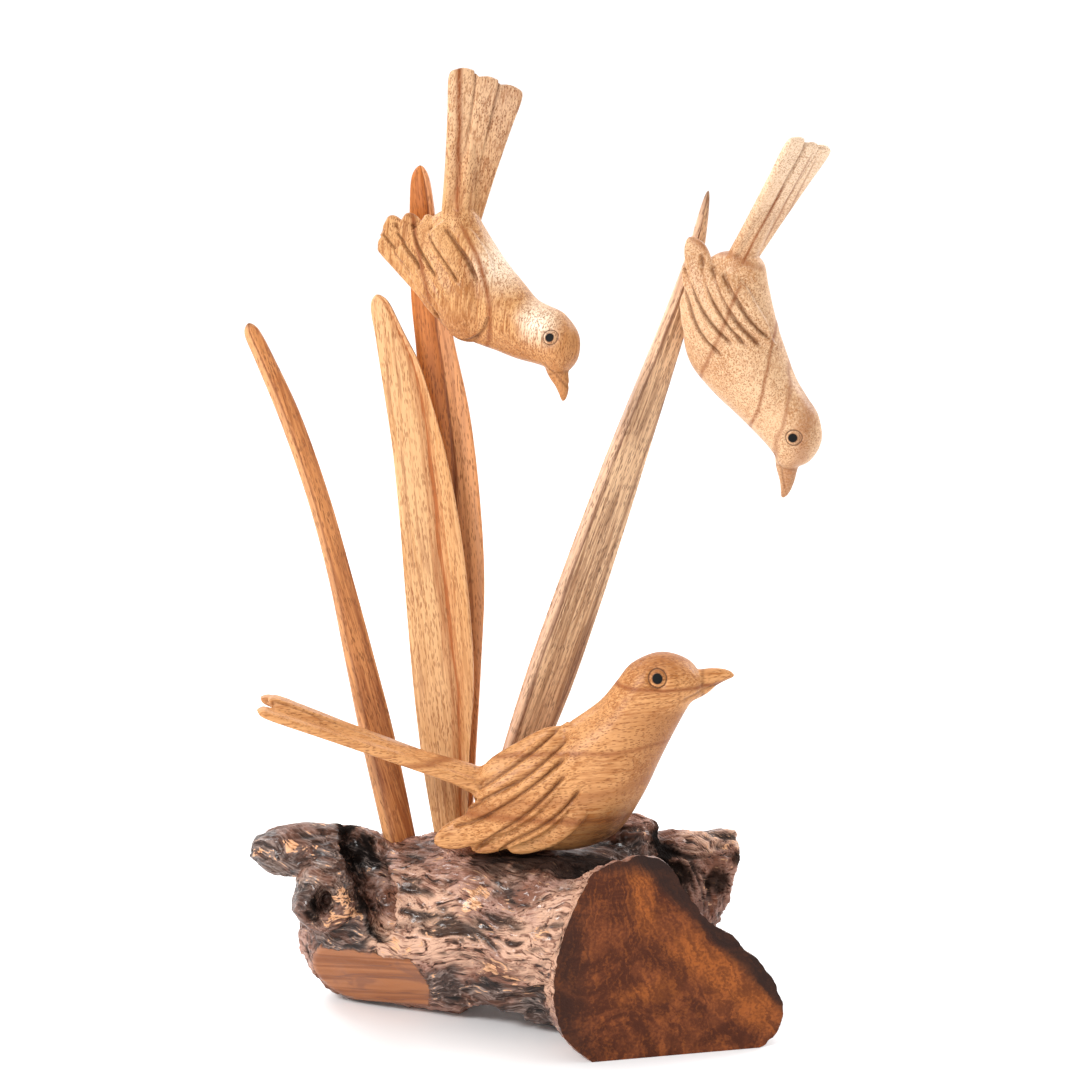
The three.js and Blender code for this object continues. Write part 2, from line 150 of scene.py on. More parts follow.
def boxyShape(angle, t, wide, deep):
    a, b = math.cos(angle), math.sin(angle)
    return wide * math.copysign(abs(a) ** 0.7, a), deep * math.copysign(abs(b) ** 0.55, b)


def limb(bm, rows, around=32, along=32, across=(0, 1, 0), shape=roundShape, nod=0):
    # A closed body along a smooth spine. Each row is x, y, z, half width, half depth.
    spine = course([row[:3] for row in rows])
    girth = course([[row[3] ** 2, row[4] ** 2] for row in rows])

    def place(t, angle):
        here = Vector(spine(t))
        if angle is None:
            return nodded(here, nod)
        step = 1e-3
        tangent = (Vector(spine(min(t + step, 1))) - Vector(spine(max(t - step, 0)))).normalized()
        side = Vector(across)
        side = (side - tangent * side.dot(tangent)).normalized()
        front = tangent.cross(side)
        size = np.sqrt(np.maximum(girth(t), 0))
        a, b = shape(angle, t, float(size[0]), float(size[1]))
        return nodded(here + side * a + front * b, nod)

    return wrapped(bm, around, along, place)


def fused(bm, voxel, name):
    # One skin round everything in bm
    rough = finishMesh(bm, name + "Rough", [])
    skin = rough.modifiers.new("skin", "REMESH")
    skin.mode = "VOXEL"
    skin.voxel_size = voxel
    mesh = bpy.data.meshes.new_from_object(rough.evaluated_get(bpy.context.evaluated_depsgraph_get()))
    bpy.data.objects.remove(rough)
    bm = bmesh.new()
    bm.from_mesh(mesh)
    bpy.data.meshes.remove(mesh)
    return bm


def spotsOf(mesh):
    spots = np.zeros(len(mesh.vertices) * 3)
    mesh.vertices.foreach_get("co", spots)
    facing = np.zeros(len(mesh.vertices) * 3)
    mesh.vertex_normals.foreach_get("vector", facing)
    return spots.reshape(-1, 3), facing.reshape(-1, 3)


def keepValues(mesh, name, values):
    mesh.attributes.new(name, "FLOAT", "POINT").data.foreach_set("value", np.asarray(values, np.float32))


def eased(values, low, high):
    t = np.clip((values - low) / (high - low), 0, 1)
    return t * t * (3 - 2 * t)


def distanceAlong(flat, line):
    # Distance of 2-D points from a line of points, and how far along it the nearest place lies
    best = np.full(len(flat), 1e9)
    where = np.zeros(len(flat))
    for i, (a, b) in enumerate(zip(line[:-1], line[1:])):
        run = b - a
        t = np.clip(((flat - a) @ run) / (run @ run), 0, 1)
        gap = np.linalg.norm(flat - a - t[:, None] * run, axis=1)
        nearer = gap < best
        best[nearer] = gap[nearer]
        where[nearer] = (i + t[nearer]) / (len(line) - 1)
    return best, where


# Materials

def node(tree, kind, **settings):
    made = tree.nodes.new("ShaderNode" + kind)
    for key, value in settings.items():
        setattr(made, key, value)
    return made


def feed(tree, socket, value):
    if isinstance(value, bpy.types.NodeSocket):
        tree.links.new(value, socket)
    elif isinstance(value, tuple) and len(value) == 3 and socket.type == "RGBA":
        socket.default_value = (*value, 1)
    else:
        socket.default_value = value


def sum2(tree, operation, a, b=0.0, clamp=False):
    made = node(tree, "Math", operation=operation, use_clamp=clamp)
    feed(tree, made.inputs[0], a)
    feed(tree, made.inputs[1], b)
    return made.outputs[0]


def blended(tree, share, a, b, blend="MIX"):
    made = node(tree, "Mix", data_type="RGBA", blend_type=blend)
    feed(tree, made.inputs["Factor"], share)
    feed(tree, made.inputs[6], a)
    feed(tree, made.inputs[7], b)
    return made.outputs[2]


def spread(tree, value, low, high, first=0.0, last=1.0):
    made = node(tree, "MapRange", interpolation_type="SMOOTHSTEP")
    for name, given in (("Value", value), ("From Min", low), ("From Max", high), ("To Min", first), ("To Max", last)):
        feed(tree, made.inputs[name], given)
    return made.outputs[0]


def mapped(tree, vector, scale=(1, 1, 1), rotation=(0, 0, 0), location=(0, 0, 0), kind="POINT"):
    made = node(tree, "Mapping", vector_type=kind)
    feed(tree, made.inputs["Vector"], vector)
    made.inputs["Scale"].default_value = scale
    made.inputs["Rotation"].default_value = rotation
    made.inputs["Location"].default_value = location
    return made.outputs[0]


def cloud(tree, vector, scale=1.0, detail=2.0, rough=0.5, bend=0.0):
    made = node(tree, "TexNoise")
    feed(tree, made.inputs["Vector"], vector)
    for name, given in (("Scale", scale), ("Detail", detail), ("Roughness", rough), ("Distortion", bend)):
        made.inputs[name].default_value = given
    return made.outputs["Fac"]


def dashes(tree, vector, reach, share):
    # Small marks, one in each cell, of which only a share is kept
    cells = node(tree, "TexVoronoi", feature="F1")
    feed(tree, cells.inputs["Vector"], vector)
    cells.inputs["Scale"].default_value = 1
    mark = spread(tree, cells.outputs["Distance"], reach, reach * 0.55)
    pick = node(tree, "SeparateColor")
    feed(tree, pick.inputs[0], cells.outputs["Color"])
    kept = spread(tree, pick.outputs[0], share + 0.04, share - 0.04)
    return sum2(tree, "MULTIPLY", mark, kept)


def value(tree, name):
    return node(tree, "Attribute", attribute_name=name).outputs["Fac"]


def newMaterial(name):
    material = bpy.data.materials.new(name)
    material.use_nodes = True
    material.node_tree.nodes.clear()
    return material, material.node_tree


def closed(tree, colour, roughness, height=None, reach=0.3, strength=0.5, coat=0.0, glint=0.5, coatRough=0.3):
    shader = node(tree, "BsdfPrincipled")
    feed(tree, shader.inputs["Base Color"], colour)
    feed(tree, shader.inputs["Roughness"], roughness)
    shader.inputs["Specular IOR Level"].default_value = glint
    feed(tree, shader.inputs["Coat Weight"], coat)
    shader.inputs["Coat Roughness"].default_value = coatRough
    if height is not None:
        bump = node(tree, "Bump")
        bump.inputs["Strength"].default_value = strength
        bump.inputs["Distance"].default_value = reach * mm
        feed(tree, bump.inputs["Height"], height)
        tree.links.new(bump.outputs[0], shader.inputs["Normal"])
    tree.links.new(shader.outputs[0], node(tree, "OutputMaterial").inputs["Surface"])


def plainPaint(name, colour):
    material, tree = newMaterial(name)
    closed(tree, colour, 0.6)
    return material


def paleWood(name, look, eyes=None):
    # Waxed parasite wood: soft tone, streaky fibres, red growth lines, short dark pores, painted shade in the carved
    # grooves and painted light and shade in bands and beside a blade's crease
    material, tree = newMaterial(name)
    spot = node(tree, "TexCoord").outputs["Object"]
    inMm = mapped(tree, spot, scale=(1000, 1000, 1000))
    turn = Vector(look["grain"]).rotation_difference(Vector((1, 0, 0))).to_euler()
    along = mapped(tree, inMm, rotation=turn)
    soft = cloud(tree, mapped(tree, along, scale=(0.02, 0.06, 0.06)), detail=2)
    fibre = cloud(tree, mapped(tree, along, scale=look["fibre"]), detail=1.5, rough=0.55)
    tone = sum2(tree, "ADD", sum2(tree, "MULTIPLY", soft, 0.4), sum2(tree, "MULTIPLY", fibre, 0.6))
    colour = blended(tree, spread(tree, tone, 0.34, 0.58), look["deep"], look["pale"])
    streak = cloud(tree, mapped(tree, along, scale=(0.03, 0.6, 0.6)), detail=2, rough=0.6)
    colour = blended(tree, spread(tree, streak, 0.52, 0.64, 0, look["streaks"]), colour, look["streak"])
    # each stripe is a growth line in the ring colour or a band of its own tone; the bands include painted shadow and
    # painted highlights
    for stripe in look.get("stripes", []):
        tone = stripe.get("tone", look["ring"])
        plan = {key: given for key, given in stripe.items() if key != "tone"}
        colour = blended(tree, stripeAt(tree, inMm, fibre, **plan), colour, tone)
    if "sideLightAndLines" in look:
        colour = bladeLightAndLines(tree, colour, look["sideLightAndLines"], fibre)
    fine = dashes(tree, mapped(tree, along, scale=look["poreScale"]), 0.44, look["poreShare"])
    coarse = dashes(tree, mapped(tree, along, scale=tuple(0.65 * s for s in look["poreScale"])), 0.28, 0.3)
    patchy = spread(tree, cloud(tree, mapped(tree, inMm, scale=(0.09, 0.09, 0.09))), 0.34, 0.6, 0.5, 1)
    pores = sum2(tree, "MULTIPLY", sum2(tree, "MAXIMUM", fine, coarse), patchy)
    colour = blended(tree, sum2(tree, "MULTIPLY", pores, look["pores"]), colour, look["pore"])
    # painted shade in the carved grooves, and a darker tip on some leaves
    colour = blended(tree, sum2(tree, "MULTIPLY", value(tree, "cut"), look["cut"], clamp=True),
                     colour, look["cutColour"])
    height = sum2(tree, "SUBTRACT", sum2(tree, "MULTIPLY", fibre, 0.6), pores)
    shine = spread(tree, fibre, 0.3, 0.7, look["gloss"] - 0.06, look["gloss"] + 0.08)
    coat = look["coat"]
    if eyes:
        colour, pupil = withEyes(tree, spot, colour, eyes)
        height = sum2(tree, "MULTIPLY", height, sum2(tree, "SUBTRACT", 1.0, pupil))
        shine = sum2(tree, "ADD", shine, sum2(tree, "MULTIPLY", pupil, 0.2))
        coat = sum2(tree, "MULTIPLY", coat, sum2(tree, "SUBTRACT", 1.0, pupil))
    closed(tree, colour, shine, height, reach=0.22, strength=0.6, coat=coat, glint=0.15, coatRough=0.3)
    return material


def stripeAt(tree, inMm, fibre, strength, wide, plane=None, round=None, wave=1.5, low=-50, high=400):
    # A growth line or a band of tone where a plane (point and facing) or a tube (x, z, radius) cuts the wood, in mm;
    # some bands are painted shade and painted highlights
    if plane:
        away = node(tree, "VectorMath", operation="DOT_PRODUCT")
        feed(tree, away.inputs[0], inMm)
        away.inputs[1].default_value = Vector(plane[1]).normalized()
        reach, middleLine = away.outputs["Value"], Vector(plane[0]).dot(Vector(plane[1]).normalized())
    else:
        away = node(tree, "VectorMath", operation="LENGTH")
        flat = mapped(tree, inMm, location=(-round[0], 0, -round[1]), scale=(1, 0, 1))
        feed(tree, away.inputs[0], flat)
        reach, middleLine = away.outputs["Value"], round[2]
    ripple = sum2(tree, "MULTIPLY", cloud(tree, mapped(tree, inMm, scale=(0.07, 0.07, 0.07)), detail=3), 4 * wave)
    gap = sum2(tree, "SUBTRACT", sum2(tree, "ADD", reach, ripple), middleLine + 2 * wave)
    sharp = spread(tree, sum2(tree, "ABSOLUTE", gap), wide, 0, 0, strength)
    parts = node(tree, "SeparateXYZ")
    feed(tree, parts.inputs[0], inMm)
    ends = sum2(tree, "MULTIPLY", spread(tree, parts.outputs[2], low, low + 4), spread(tree, parts.outputs[2], high, high - 4))
    broken = spread(tree, fibre, 0.36, 0.52, 0.45, 1)
    return sum2(tree, "MULTIPLY", sharp, sum2(tree, "MULTIPLY", ends, broken))


def bladeLightAndLines(tree, colour, sideLightAndLines, fibre):
    # The crease lines of a blade, painted light and shade on each side of the crease, and the left side's painted light
    # and shade carried onto both edges
    wobble = sum2(tree, "MULTIPLY", sum2(tree, "SUBTRACT", fibre, 0.5), 0.35)
    side = sum2(tree, "ADD", value(tree, "side"), wobble)
    # painted light and shade on the two faces beside the crease
    colour = blended(tree, spread(tree, side, -0.04, 0.04, 0, sideLightAndLines["rightLightShare"]), colour, sideLightAndLines["right"])
    colour = blended(tree, spread(tree, side, 0.04, -0.04, 0, sideLightAndLines["leftLightShare"]), colour, sideLightAndLines["left"])
    for place, wide, strength in sideLightAndLines["lines"]:
        gap = sum2(tree, "ABSOLUTE", sum2(tree, "SUBTRACT", side, place))
        colour = blended(tree, spread(tree, gap, wide, 0, 0, strength), colour, sideLightAndLines["line"])
    # the left side's painted light and shade carried onto both edges
    edge = sum2(tree, "ADD", value(tree, "edge"), wobble)
    return blended(tree, spread(tree, edge, 0.86, 1.0, 0, 0.35), colour, sideLightAndLines["left"])


def withEyes(tree, spot, colour, eyes):
    # A thin ring of painted shade in the carved eye groove and a painted pupil on both sides of the head
    local = mapped(tree, spot, location=eyes["place"], rotation=eyes["turn"], scale=eyes["scale"], kind="TEXTURE")
    parts = node(tree, "SeparateXYZ")
    feed(tree, parts.inputs[0], local)
    out = sum2(tree, "SUBTRACT", sum2(tree, "ABSOLUTE", parts.outputs[1]), eyes["spot"][1])
    joined = node(tree, "CombineXYZ")
    feed(tree, joined.inputs[0], sum2(tree, "SUBTRACT", parts.outputs[0], eyes["spot"][0]))
    feed(tree, joined.inputs[1], sum2(tree, "MULTIPLY", out, 0.2))
    feed(tree, joined.inputs[2], sum2(tree, "SUBTRACT", parts.outputs[2], eyes["spot"][2]))
    gap = node(tree, "VectorMath", operation="LENGTH")
    feed(tree, gap.inputs[0], joined.outputs[0])
    ring = sum2(tree, "ABSOLUTE", sum2(tree, "SUBTRACT", gap.outputs["Value"], eyes["ring"]))
    # painted shade in the ring groove
    colour = blended(tree, spread(tree, ring, 0.42, 0.02, 0, 0.9), colour, (0.09, 0.035, 0.015))
    rim = sum2(tree, "ABSOLUTE", sum2(tree, "SUBTRACT", gap.outputs["Value"], eyes["pupil"]))
    colour = blended(tree, spread(tree, rim, 0.45, 0.1, 0, 0.6), colour, (0.16, 0.06, 0.025))
    pupil = spread(tree, gap.outputs["Value"], eyes["pupil"] + 0.12, eyes["pupil"] - 0.12)
    return blended(tree, pupil, colour, (0.003, 0.003, 0.003)), pupil


print("tools ready")

# Birds

perches = {
    "bird_low": {
        "place": (8, -12, 74.6), "dive": 0, "turn": 3, "roll": 0, "size": 1,
        "tailFrom": (-20, 20), "tailLong": 80, "tailWide": 22, "cock": 158.5, "twist": 0,
        "nod": 0, "swing": 0, "wings": (1, 1), "drops": (0, 3.4), "beakLift": 5, "beakLong": 1,
        "arch": 2.8, "tailRoot": 3, "feathers": (1, 0.97, 0.99),
    },
    "bird_left": {
        "place": (-20.8, -3.8, 236), "dive": 79, "turn": 40, "roll": -8, "size": 0.78,
        "tailFrom": (-20, 20), "tailLong": 60, "tailWide": 30.5, "cock": 157, "twist": 40,
        "nod": 8, "swing": 0, "wings": (1, 0.9), "drops": (0, 4), "beakLift": -14, "beakLong": 1.05,
        "arch": 0.8, "tailRoot": 4.6, "feathers": (0.96, 1, 1.03),
        "strips": [
            [(15, 33.5, 1.6), (4, 34, 3), (-6, 31, 3.4), (-12.5, 27.5, 3.4), (-16.4, 25.4, 3), (-18.2, 24.6, 0)],
            [(16, 29, 2.6), (6, 28, 4), (-5, 23.5, 4.6), (-13.5, 18.4, 4.8), (-19.3, 15.8, 4.6), (-20.8, 15, 0)],
            [(17, 26, 3), (7, 22.5, 4.4), (-4, 16.5, 4.8), (-14, 10.2, 5), (-21.6, 6.6, 5), (-23.3, 5.8, 0)],
            [(18, 23, 3.4), (8, 18.5, 4.8), (-3, 11, 5), (-14.5, 3, 5), (-23, -1, 5), (-24.8, -2, 0)],
            [(18.5, 20, 3.2), (9, 14.5, 4.4), (-1, 6, 4.6), (-13, -3, 4.8), (-23.2, -8.6, 4.6), (-25, -9.8, 0)],
            [(19, 18, 2.6), (11, 11.5, 3.8), (2, 3.5, 4.2), (-8, -5.5, 4.2), (-17, -12, 3.8), (-19, -13.5, 0)],
        ],
        "grooves": [
            [(5, 31.8), (-5.5, 27.5), (-13.5, 22.8), (-18.5, 20)],
            [(3, 24.5), (-4.5, 20), (-13.5, 14.6), (-20.5, 11.2)],
            [(0, 14.8), (-9, 9.5), (-16.5, 5.2), (-22.6, 2.5)],
            [(-4, 6), (-12, 0.5), (-18.5, -3.2), (-23.8, -5.2)],
            [(-3, -0.6), (-10, -5), (-16, -8.6), (-21, -11)],
            [(8, 8.6), (15.5, 10.6), (22.4, 14), (25.6, 22), (22.4, 30.5), (17.5, 35)],
        ],
        "shoulder": [(26, 24, 0, 0), (21, 24, 8.4, 4), (13, 22.4, 10.6, 5.4), (3, 16.5, 9, 4.6), (-8, 8.5, 6, 3),
                     (-16, 3, 0, 0)],
        "web": [(8, -8, 21, 0, 0), (2, -7.5, 18.5, 10, 1.7), (-7, -6.8, 14.5, 14, 1.9), (-15, -6.2, 11, 16.5, 1.9),
                (-19.6, -5.8, 9, 16.8, 1.7), (-21, -5.7, 8.4, 0, 0)],
    },
    "bird_right": {
        "place": (61.3, 1, 220), "dive": 103, "turn": 38, "roll": -4, "size": 0.84,
        "tailFrom": (-20, 16), "tailLong": 57.5, "tailWide": 23.5, "cock": 159, "twist": 16,
        "nod": 0, "swing": 12, "wings": (0.9, 0.7), "drops": (0, 4.5), "beakLift": -3, "beakLong": 1.12,
        "arch": 0.8, "tailRoot": 3.4, "feathers": (1, 1.02, 1.04),
    },
}

birdShape = {
    "middle": (0, 0, 20),
    # back x and z, breast x and z, half width
    "body": [
        (-28, 20, -28, 20, 0), (-25.5, 26.6, -24, 8, 6.5), (-17.5, 30.1, -13, 1.2, 10.5),
        (-4.9, 36.5, 4.5, 0.7, 13.2), (4, 42.5, 17.5, 6.2, 14), (12.3, 48.8, 25.6, 18, 13),
        (17.5, 55.3, 31.8, 31.5, 11), (22.2, 61.1, 37.3, 42.7, 9.6), (30.9, 64.6, 40.8, 48.8, 8.8),
        (39.6, 62.3, 43.6, 50.8, 6.2), (44.6, 56.2, 44.6, 56.2, 0),
    ],
    "beak": [(36, 0, 54, 5, 6.6), (42.5, 0, 54.3, 3.7, 4.7), (47.4, 0, 55.8, 2.6, 3.1),
             (51.2, 0, 56.3, 1.6, 2), (54.4, 0, 55.9, 0, 0)],
    "eye": (30.3, 8.7, 58.2),
    "eyeRing": 2.8,
    "pupil": 1.6,
    "neck": (23, 44),
    "neckBlend": 16,
    "shoulder": (6, 33),
    # middle line of each wing strip, x and z from the shoulder to the tip, and its half width
    "strips": [
        [(5, 39.5, 0.8), (-4, 37.6, 1.5), (-12, 32.9, 2.2), (-20, 27.8, 2.7), (-25.5, 24, 0)],
        [(3.5, 40, 1.6), (-5, 34, 2.4), (-15, 25.8, 3), (-23, 20.4, 2.4), (-26, 18.6, 0)],
        [(4, 36, 1.8), (-5, 28, 2.8), (-14, 20.8, 3.2), (-25, 14.6, 2.6), (-29.5, 12.4, 0)],
        [(4.5, 31, 2), (-4, 22.5, 3.4), (-14, 14.8, 4.2), (-31, 6.8, 4.2), (-39.5, 4.4, 0)],
        [(7, 26.5, 2), (0, 17.5, 3), (-9, 10.4, 3.6), (-21, 4.6, 3.4), (-27.5, 2.2, 0)],
        [(10, 23, 2), (5, 14.5, 3), (-2, 8.4, 3.6), (-10, 4.4, 3.2), (-16, 2.2, 0)],
    ],
    "raise": 1.2,
    "stripDeep": 2.1,
    "stripSink": 0.9,
    "lean": (0.8, 0.65, 0.55, 0.45, 0.3, 0.15),
    "tipOut": (3, 4.5, 6.5, 8.5, 8.5, 8.5),
    # the cut lines between the strips
    "grooves": [
        [(0.9, 41.1), (-8.1, 33.6), (-19, 26), (-25.5, 21.8)],
        [(3.2, 38.2), (-3.9, 31.7), (-13.8, 24.1), (-28, 15.8)],
        [(3.2, 33.5), (-3.2, 27.4), (-12.3, 20.6), (-23.3, 12.6), (-32, 9.6)],
        [(3.2, 28.1), (-3.2, 21.5), (-10.8, 14.3), (-19.1, 7.9), (-26, 2)],
        [(7.7, 24), (2.5, 17.3), (-5.1, 10.9), (-13.8, 5.6), (-18, 2)],
    ],
    "grooveDeep": 1.8,
    "grooveWide": 1.15,
    "featherCut": 0.9,
    "stem": [(0, 5.6, 5.2), (12, 4.8, 4), (26, 4.6, 2.2), (36, 0, 0)],
    "voxel": 0.45,
}


def nodded(spot, nod):
    # Lifts the head of a bird about its neck
    if not nod:
        return spot
    x, z = spot.x - birdShape["neck"][0], spot.z - birdShape["neck"][1]
    blend = birdShape["neckBlend"]
    t = min(max((x * 0.5 + z * 0.87 + blend / 2) / blend, 0), 1)
    angle = math.radians(nod) * t * t * (3 - 2 * t)
    return Vector((birdShape["neck"][0] + x * math.cos(angle) - z * math.sin(angle), spot.y,
                   birdShape["neck"][1] + x * math.sin(angle) + z * math.cos(angle)))


backLine = course([row[:2] for row in birdShape["body"]])
breastLine = course([row[2:4] for row in birdShape["body"]])
bodyGirth = course([[row[4] ** 2] for row in birdShape["body"]])
flankStations = [(backLine(i / 60), breastLine(i / 60), math.sqrt(max(bodyGirth(i / 60)[0], 0)))
                 for i in range(1, 60)]


def flank(x, z):
    # Half width of the body beside a point of its side view
    widest = 0
    for back, breast, wide in flankStations:
        centre = (back + breast) / 2
        reach = math.hypot(x - centre[0], z - centre[1]) / (np.linalg.norm(back - breast) / 2)
        if reach < 1:
            widest = max(widest, wide * math.sqrt(1 - reach * reach))
    return widest


def addBody(bm, nod):
    def place(t, angle):
        back, breast = backLine(t), breastLine(t)
        centre = (back + breast) / 2
        if angle is None:
            return nodded(Vector((centre[0], 0, centre[1])), nod)
        wide = math.sqrt(max(bodyGirth(t)[0], 0))
        spot = centre + (back - breast) * math.sin(angle) / 2
        return nodded(Vector((spot[0], wide * math.cos(angle), spot[1])), nod)

    wrapped(bm, 64, 72, place)


def swung(x, z, swing, length=1.0):
    # A point of the wing, drawn towards the shoulder by length and turned about it
    hub = birdShape["shoulder"]
    x, z = hub[0] + (x - hub[0]) * length, hub[1] + (z - hub[1]) * length
    a = math.radians(swing)
    dx, dz = x - hub[0], z - hub[1]
    return hub[0] + dx * math.cos(a) - dz * math.sin(a), hub[1] + dx * math.sin(a) + dz * math.cos(a)


def addWing(bm, side, perch, length, drop):
    strips = perch.get("strips", birdShape["strips"])
    for strip, lean, tipOut in zip(strips, birdShape["lean"], birdShape["tipOut"]):
        rows = []
        for i, (x, z, wide) in enumerate(strip):
            t = i / (len(strip) - 1)
            x, z = swung(x, z - drop + birdShape["raise"] * (1 - t), perch["swing"], length)
            out = max(flank(x, z) - birdShape["stripSink"], 1 + (tipOut - 1) * t)
            deep = birdShape["stripDeep"] * (0.6 + 0.4 * t) if wide else 0
            rows.append((x, side * (out - (birdShape["stripDeep"] if i == 0 else 0)), z, wide * 1.15, deep))
        limb(bm, rows, around=20, along=40, across=(-0.55, -side * lean, 0.83), shape=boxyShape)
    if side < 0 and "shoulder" in perch:
        limb(bm, [(x, 3.2 - flank(x, z), z, wide, deep) for x, z, wide, deep in perch["shoulder"]],
             around=40, along=40, across=(-0.55, 0, 0.83))
        limb(bm, perch["web"], around=64, along=64, across=(0.2, 0.165, 0.98), shape=boxyShape)


def addBeak(bm, perch):
    # Turned up a little and drawn out about its root
    hub = birdShape["beak"][0]
    lift = math.radians(perch["beakLift"])
    rows = []
    for x, y, z, wide, deep in birdShape["beak"]:
        ahead, up = (x - hub[0]) * perch["beakLong"], z - hub[2]
        rows.append((hub[0] + ahead * math.cos(lift) - up * math.sin(lift), y,
                     hub[2] + ahead * math.sin(lift) + up * math.cos(lift), wide, deep))
    limb(bm, rows, nod=perch["nod"])


def tailFrame(perch):
    cock = math.radians(perch["cock"])
    back = Vector((math.cos(cock), 0, math.sin(cock)))
    rise = Matrix.Rotation(math.radians(-perch["twist"]), 3, back) @ Vector((back.z, 0, -back.x))
    return Vector((perch["tailFrom"][0], 0, perch["tailFrom"][1])), back, rise, back.cross(rise)


def addTail(bm, perch):
    root, back, rise, wideAxis = tailFrame(perch)
    count = len(perch["feathers"])
    feather = perch["tailWide"] / count
    inner = perch["tailRoot"]
    for i, share in enumerate(perch["feathers"]):
        spread = i / (count - 1) * 2 - 1
        rows = []
        for t in (0, 0.35, 0.7, 0.94, 1):
            spot = root + back * perch["tailLong"] * share * t - rise * perch["arch"] * spread * spread * t
            spot -= wideAxis * spread * (inner + ((perch["tailWide"] - feather) / 2 - inner) * t ** 1.25)
            wide = 0 if t == 1 else 3.2 + (feather * 0.6 - 3.2) * t
            deep = 0 if t == 1 else 2.2 - 0.8 * t
            rows.append((*spot, wide, deep))
        limb(bm, rows, around=24, along=64, across=tuple(wideAxis), shape=boxyShape)
    stem = [(root.x + reach * back.x, 0, root.z + reach * back.z, wide, deep)
            for reach, wide, deep in birdShape["stem"]]
    limb(bm, [(root.x + 9, 0, root.z - 1.5, 7, 7.5), *stem])


def poseOf(perch):
    return (Matrix.Translation(Vector(perch["place"]) - middle)
            @ Euler([math.radians(a) for a in (perch["roll"], perch["dive"], -perch["turn"])]).to_matrix().to_4x4()
            @ Matrix.Scale(perch["size"], 4)
            @ Matrix.Translation(-Vector(birdShape["middle"])))


def carveBird(mesh, perch):
    # Cuts the lines of the wings, the ring round each eye and the line of the beak, and keeps where painted shade goes
    # in them
    spots, facing = spotsOf(mesh)
    # where painted shade goes in the carved grooves, the mouth and the beak's root line
    cut = np.zeros(len(spots))
    deep = np.zeros(len(spots))
    flat = spots[:, [0, 2]]
    for side, length, drop in zip((-1, 1), perch["wings"], perch["drops"]):
        near = (spots[:, 1] * side > 2.5) & (facing[:, 1] * side > 0.12)
        for groove in perch.get("grooves", birdShape["grooves"]):
            curve = course([swung(x, z - drop + birdShape["raise"] * (1 - i / len(groove)), perch["swing"], length)
                            for i, (x, z) in enumerate(groove)])
            line = np.array([curve(i / 16) for i in range(17)])
            gap, where = distanceAlong(flat[near], line)
            profile = np.clip(1 - gap / birdShape["grooveWide"], 0, 1) ** 1.4
            profile *= eased(where, 0.0, 0.14) * (1 - 0.35 * where) * (gap < birdShape["grooveWide"])
            deep[near] = np.maximum(deep[near], birdShape["grooveDeep"] * profile)
            cut[near] = np.maximum(cut[near], profile)
    root, back, rise, wideAxis = tailFrame(perch)
    away = (spots - np.array(root)) @ np.array(back) / perch["tailLong"]
    across = (spots - np.array(root)) @ np.array(wideAxis)
    feather = perch["tailWide"] / len(perch["feathers"])
    reach = perch["tailRoot"] + ((perch["tailWide"] - feather) / 2 - perch["tailRoot"]) * np.clip(away, 0, 1) ** 1.25
    gap = np.abs(np.abs(across) - reach / 2)
    profile = np.clip(1 - gap / birdShape["featherCut"], 0, 1) * eased(away, 0.3, 0.85)
    deep = np.maximum(deep, 1.0 * profile)
    cut = np.maximum(cut, 0.5 * profile)
    eye = nodded(Vector(birdShape["eye"]), perch["nod"])
    gap = np.linalg.norm(np.column_stack([flat - (eye.x, eye.z), 0.3 * (np.abs(spots[:, 1]) - eye.y)]), axis=1)
    ring = np.clip(1 - np.abs(gap - birdShape["eyeRing"]) / 0.85, 0, 1)
    deep = np.maximum(deep, 0.75 * ring)
    deep -= 0.25 * np.clip(1 - gap / birdShape["eyeRing"], 0, 1)
    mouth = np.array([(x, z) for x, z in ((39, 51.2), (45, 53.8), (52, 55.8))])
    mouth = np.array([[spot.x, spot.z] for spot in (nodded(Vector((x, 0, z)), perch["nod"]) for x, z in mouth)])
    gap, where = distanceAlong(flat, mouth)
    lips = np.clip(1 - gap / 0.7, 0, 1) * (np.abs(facing[:, 1]) > 0.2)
    deep = np.maximum(deep, 0.35 * lips)
    cut = np.maximum(cut, 0.6 * lips)
    cut = np.maximum(cut, 0.5 * np.clip(1 - np.abs(spots[:, 0] - nodded(Vector((44.2, 0, 55)), perch["nod"]).x) / 0.8, 0, 1)
                     * (spots[:, 2] > 50))
    spots -= facing * deep[:, None]
    mesh.vertices.foreach_set("co", spots.ravel())
    keepValues(mesh, "cut", cut)


def makeBird(name, material):
    perch = perches[name]
    bm = bmesh.new()
    addBody(bm, perch["nod"])
    addBeak(bm, perch)
    addTail(bm, perch)
    for side, length, drop in zip((-1, 1), perch["wings"], perch["drops"]):
        addWing(bm, side, perch, length, drop)
    bm = fused(bm, birdShape["voxel"], name)
    for _ in range(2):
        bmesh.ops.smooth_vert(bm, verts=bm.verts, factor=0.5, use_axis_x=True, use_axis_y=True, use_axis_z=True)
    bird = finishMesh(bm, name + "Carved", [material])
    carveBird(bird.data, perch)
    bird.data.transform(Matrix.Scale(mm, 4) @ poseOf(perch))
    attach(bird, "root")
    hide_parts(name)
    print(name, len(bird.data.polygons), "faces")


def eyesOf(perch):
    eye = nodded(Vector(birdShape["eye"]), perch["nod"])
    pose = poseOf(perch)
    return {
        "place": tuple(pose.to_translation() * mm),
        "turn": pose.to_euler(),
        "scale": (perch["size"] * mm,) * 3,
        "spot": tuple(eye),
        "ring": birdShape["eyeRing"],
        "pupil": birdShape["pupil"],
    }


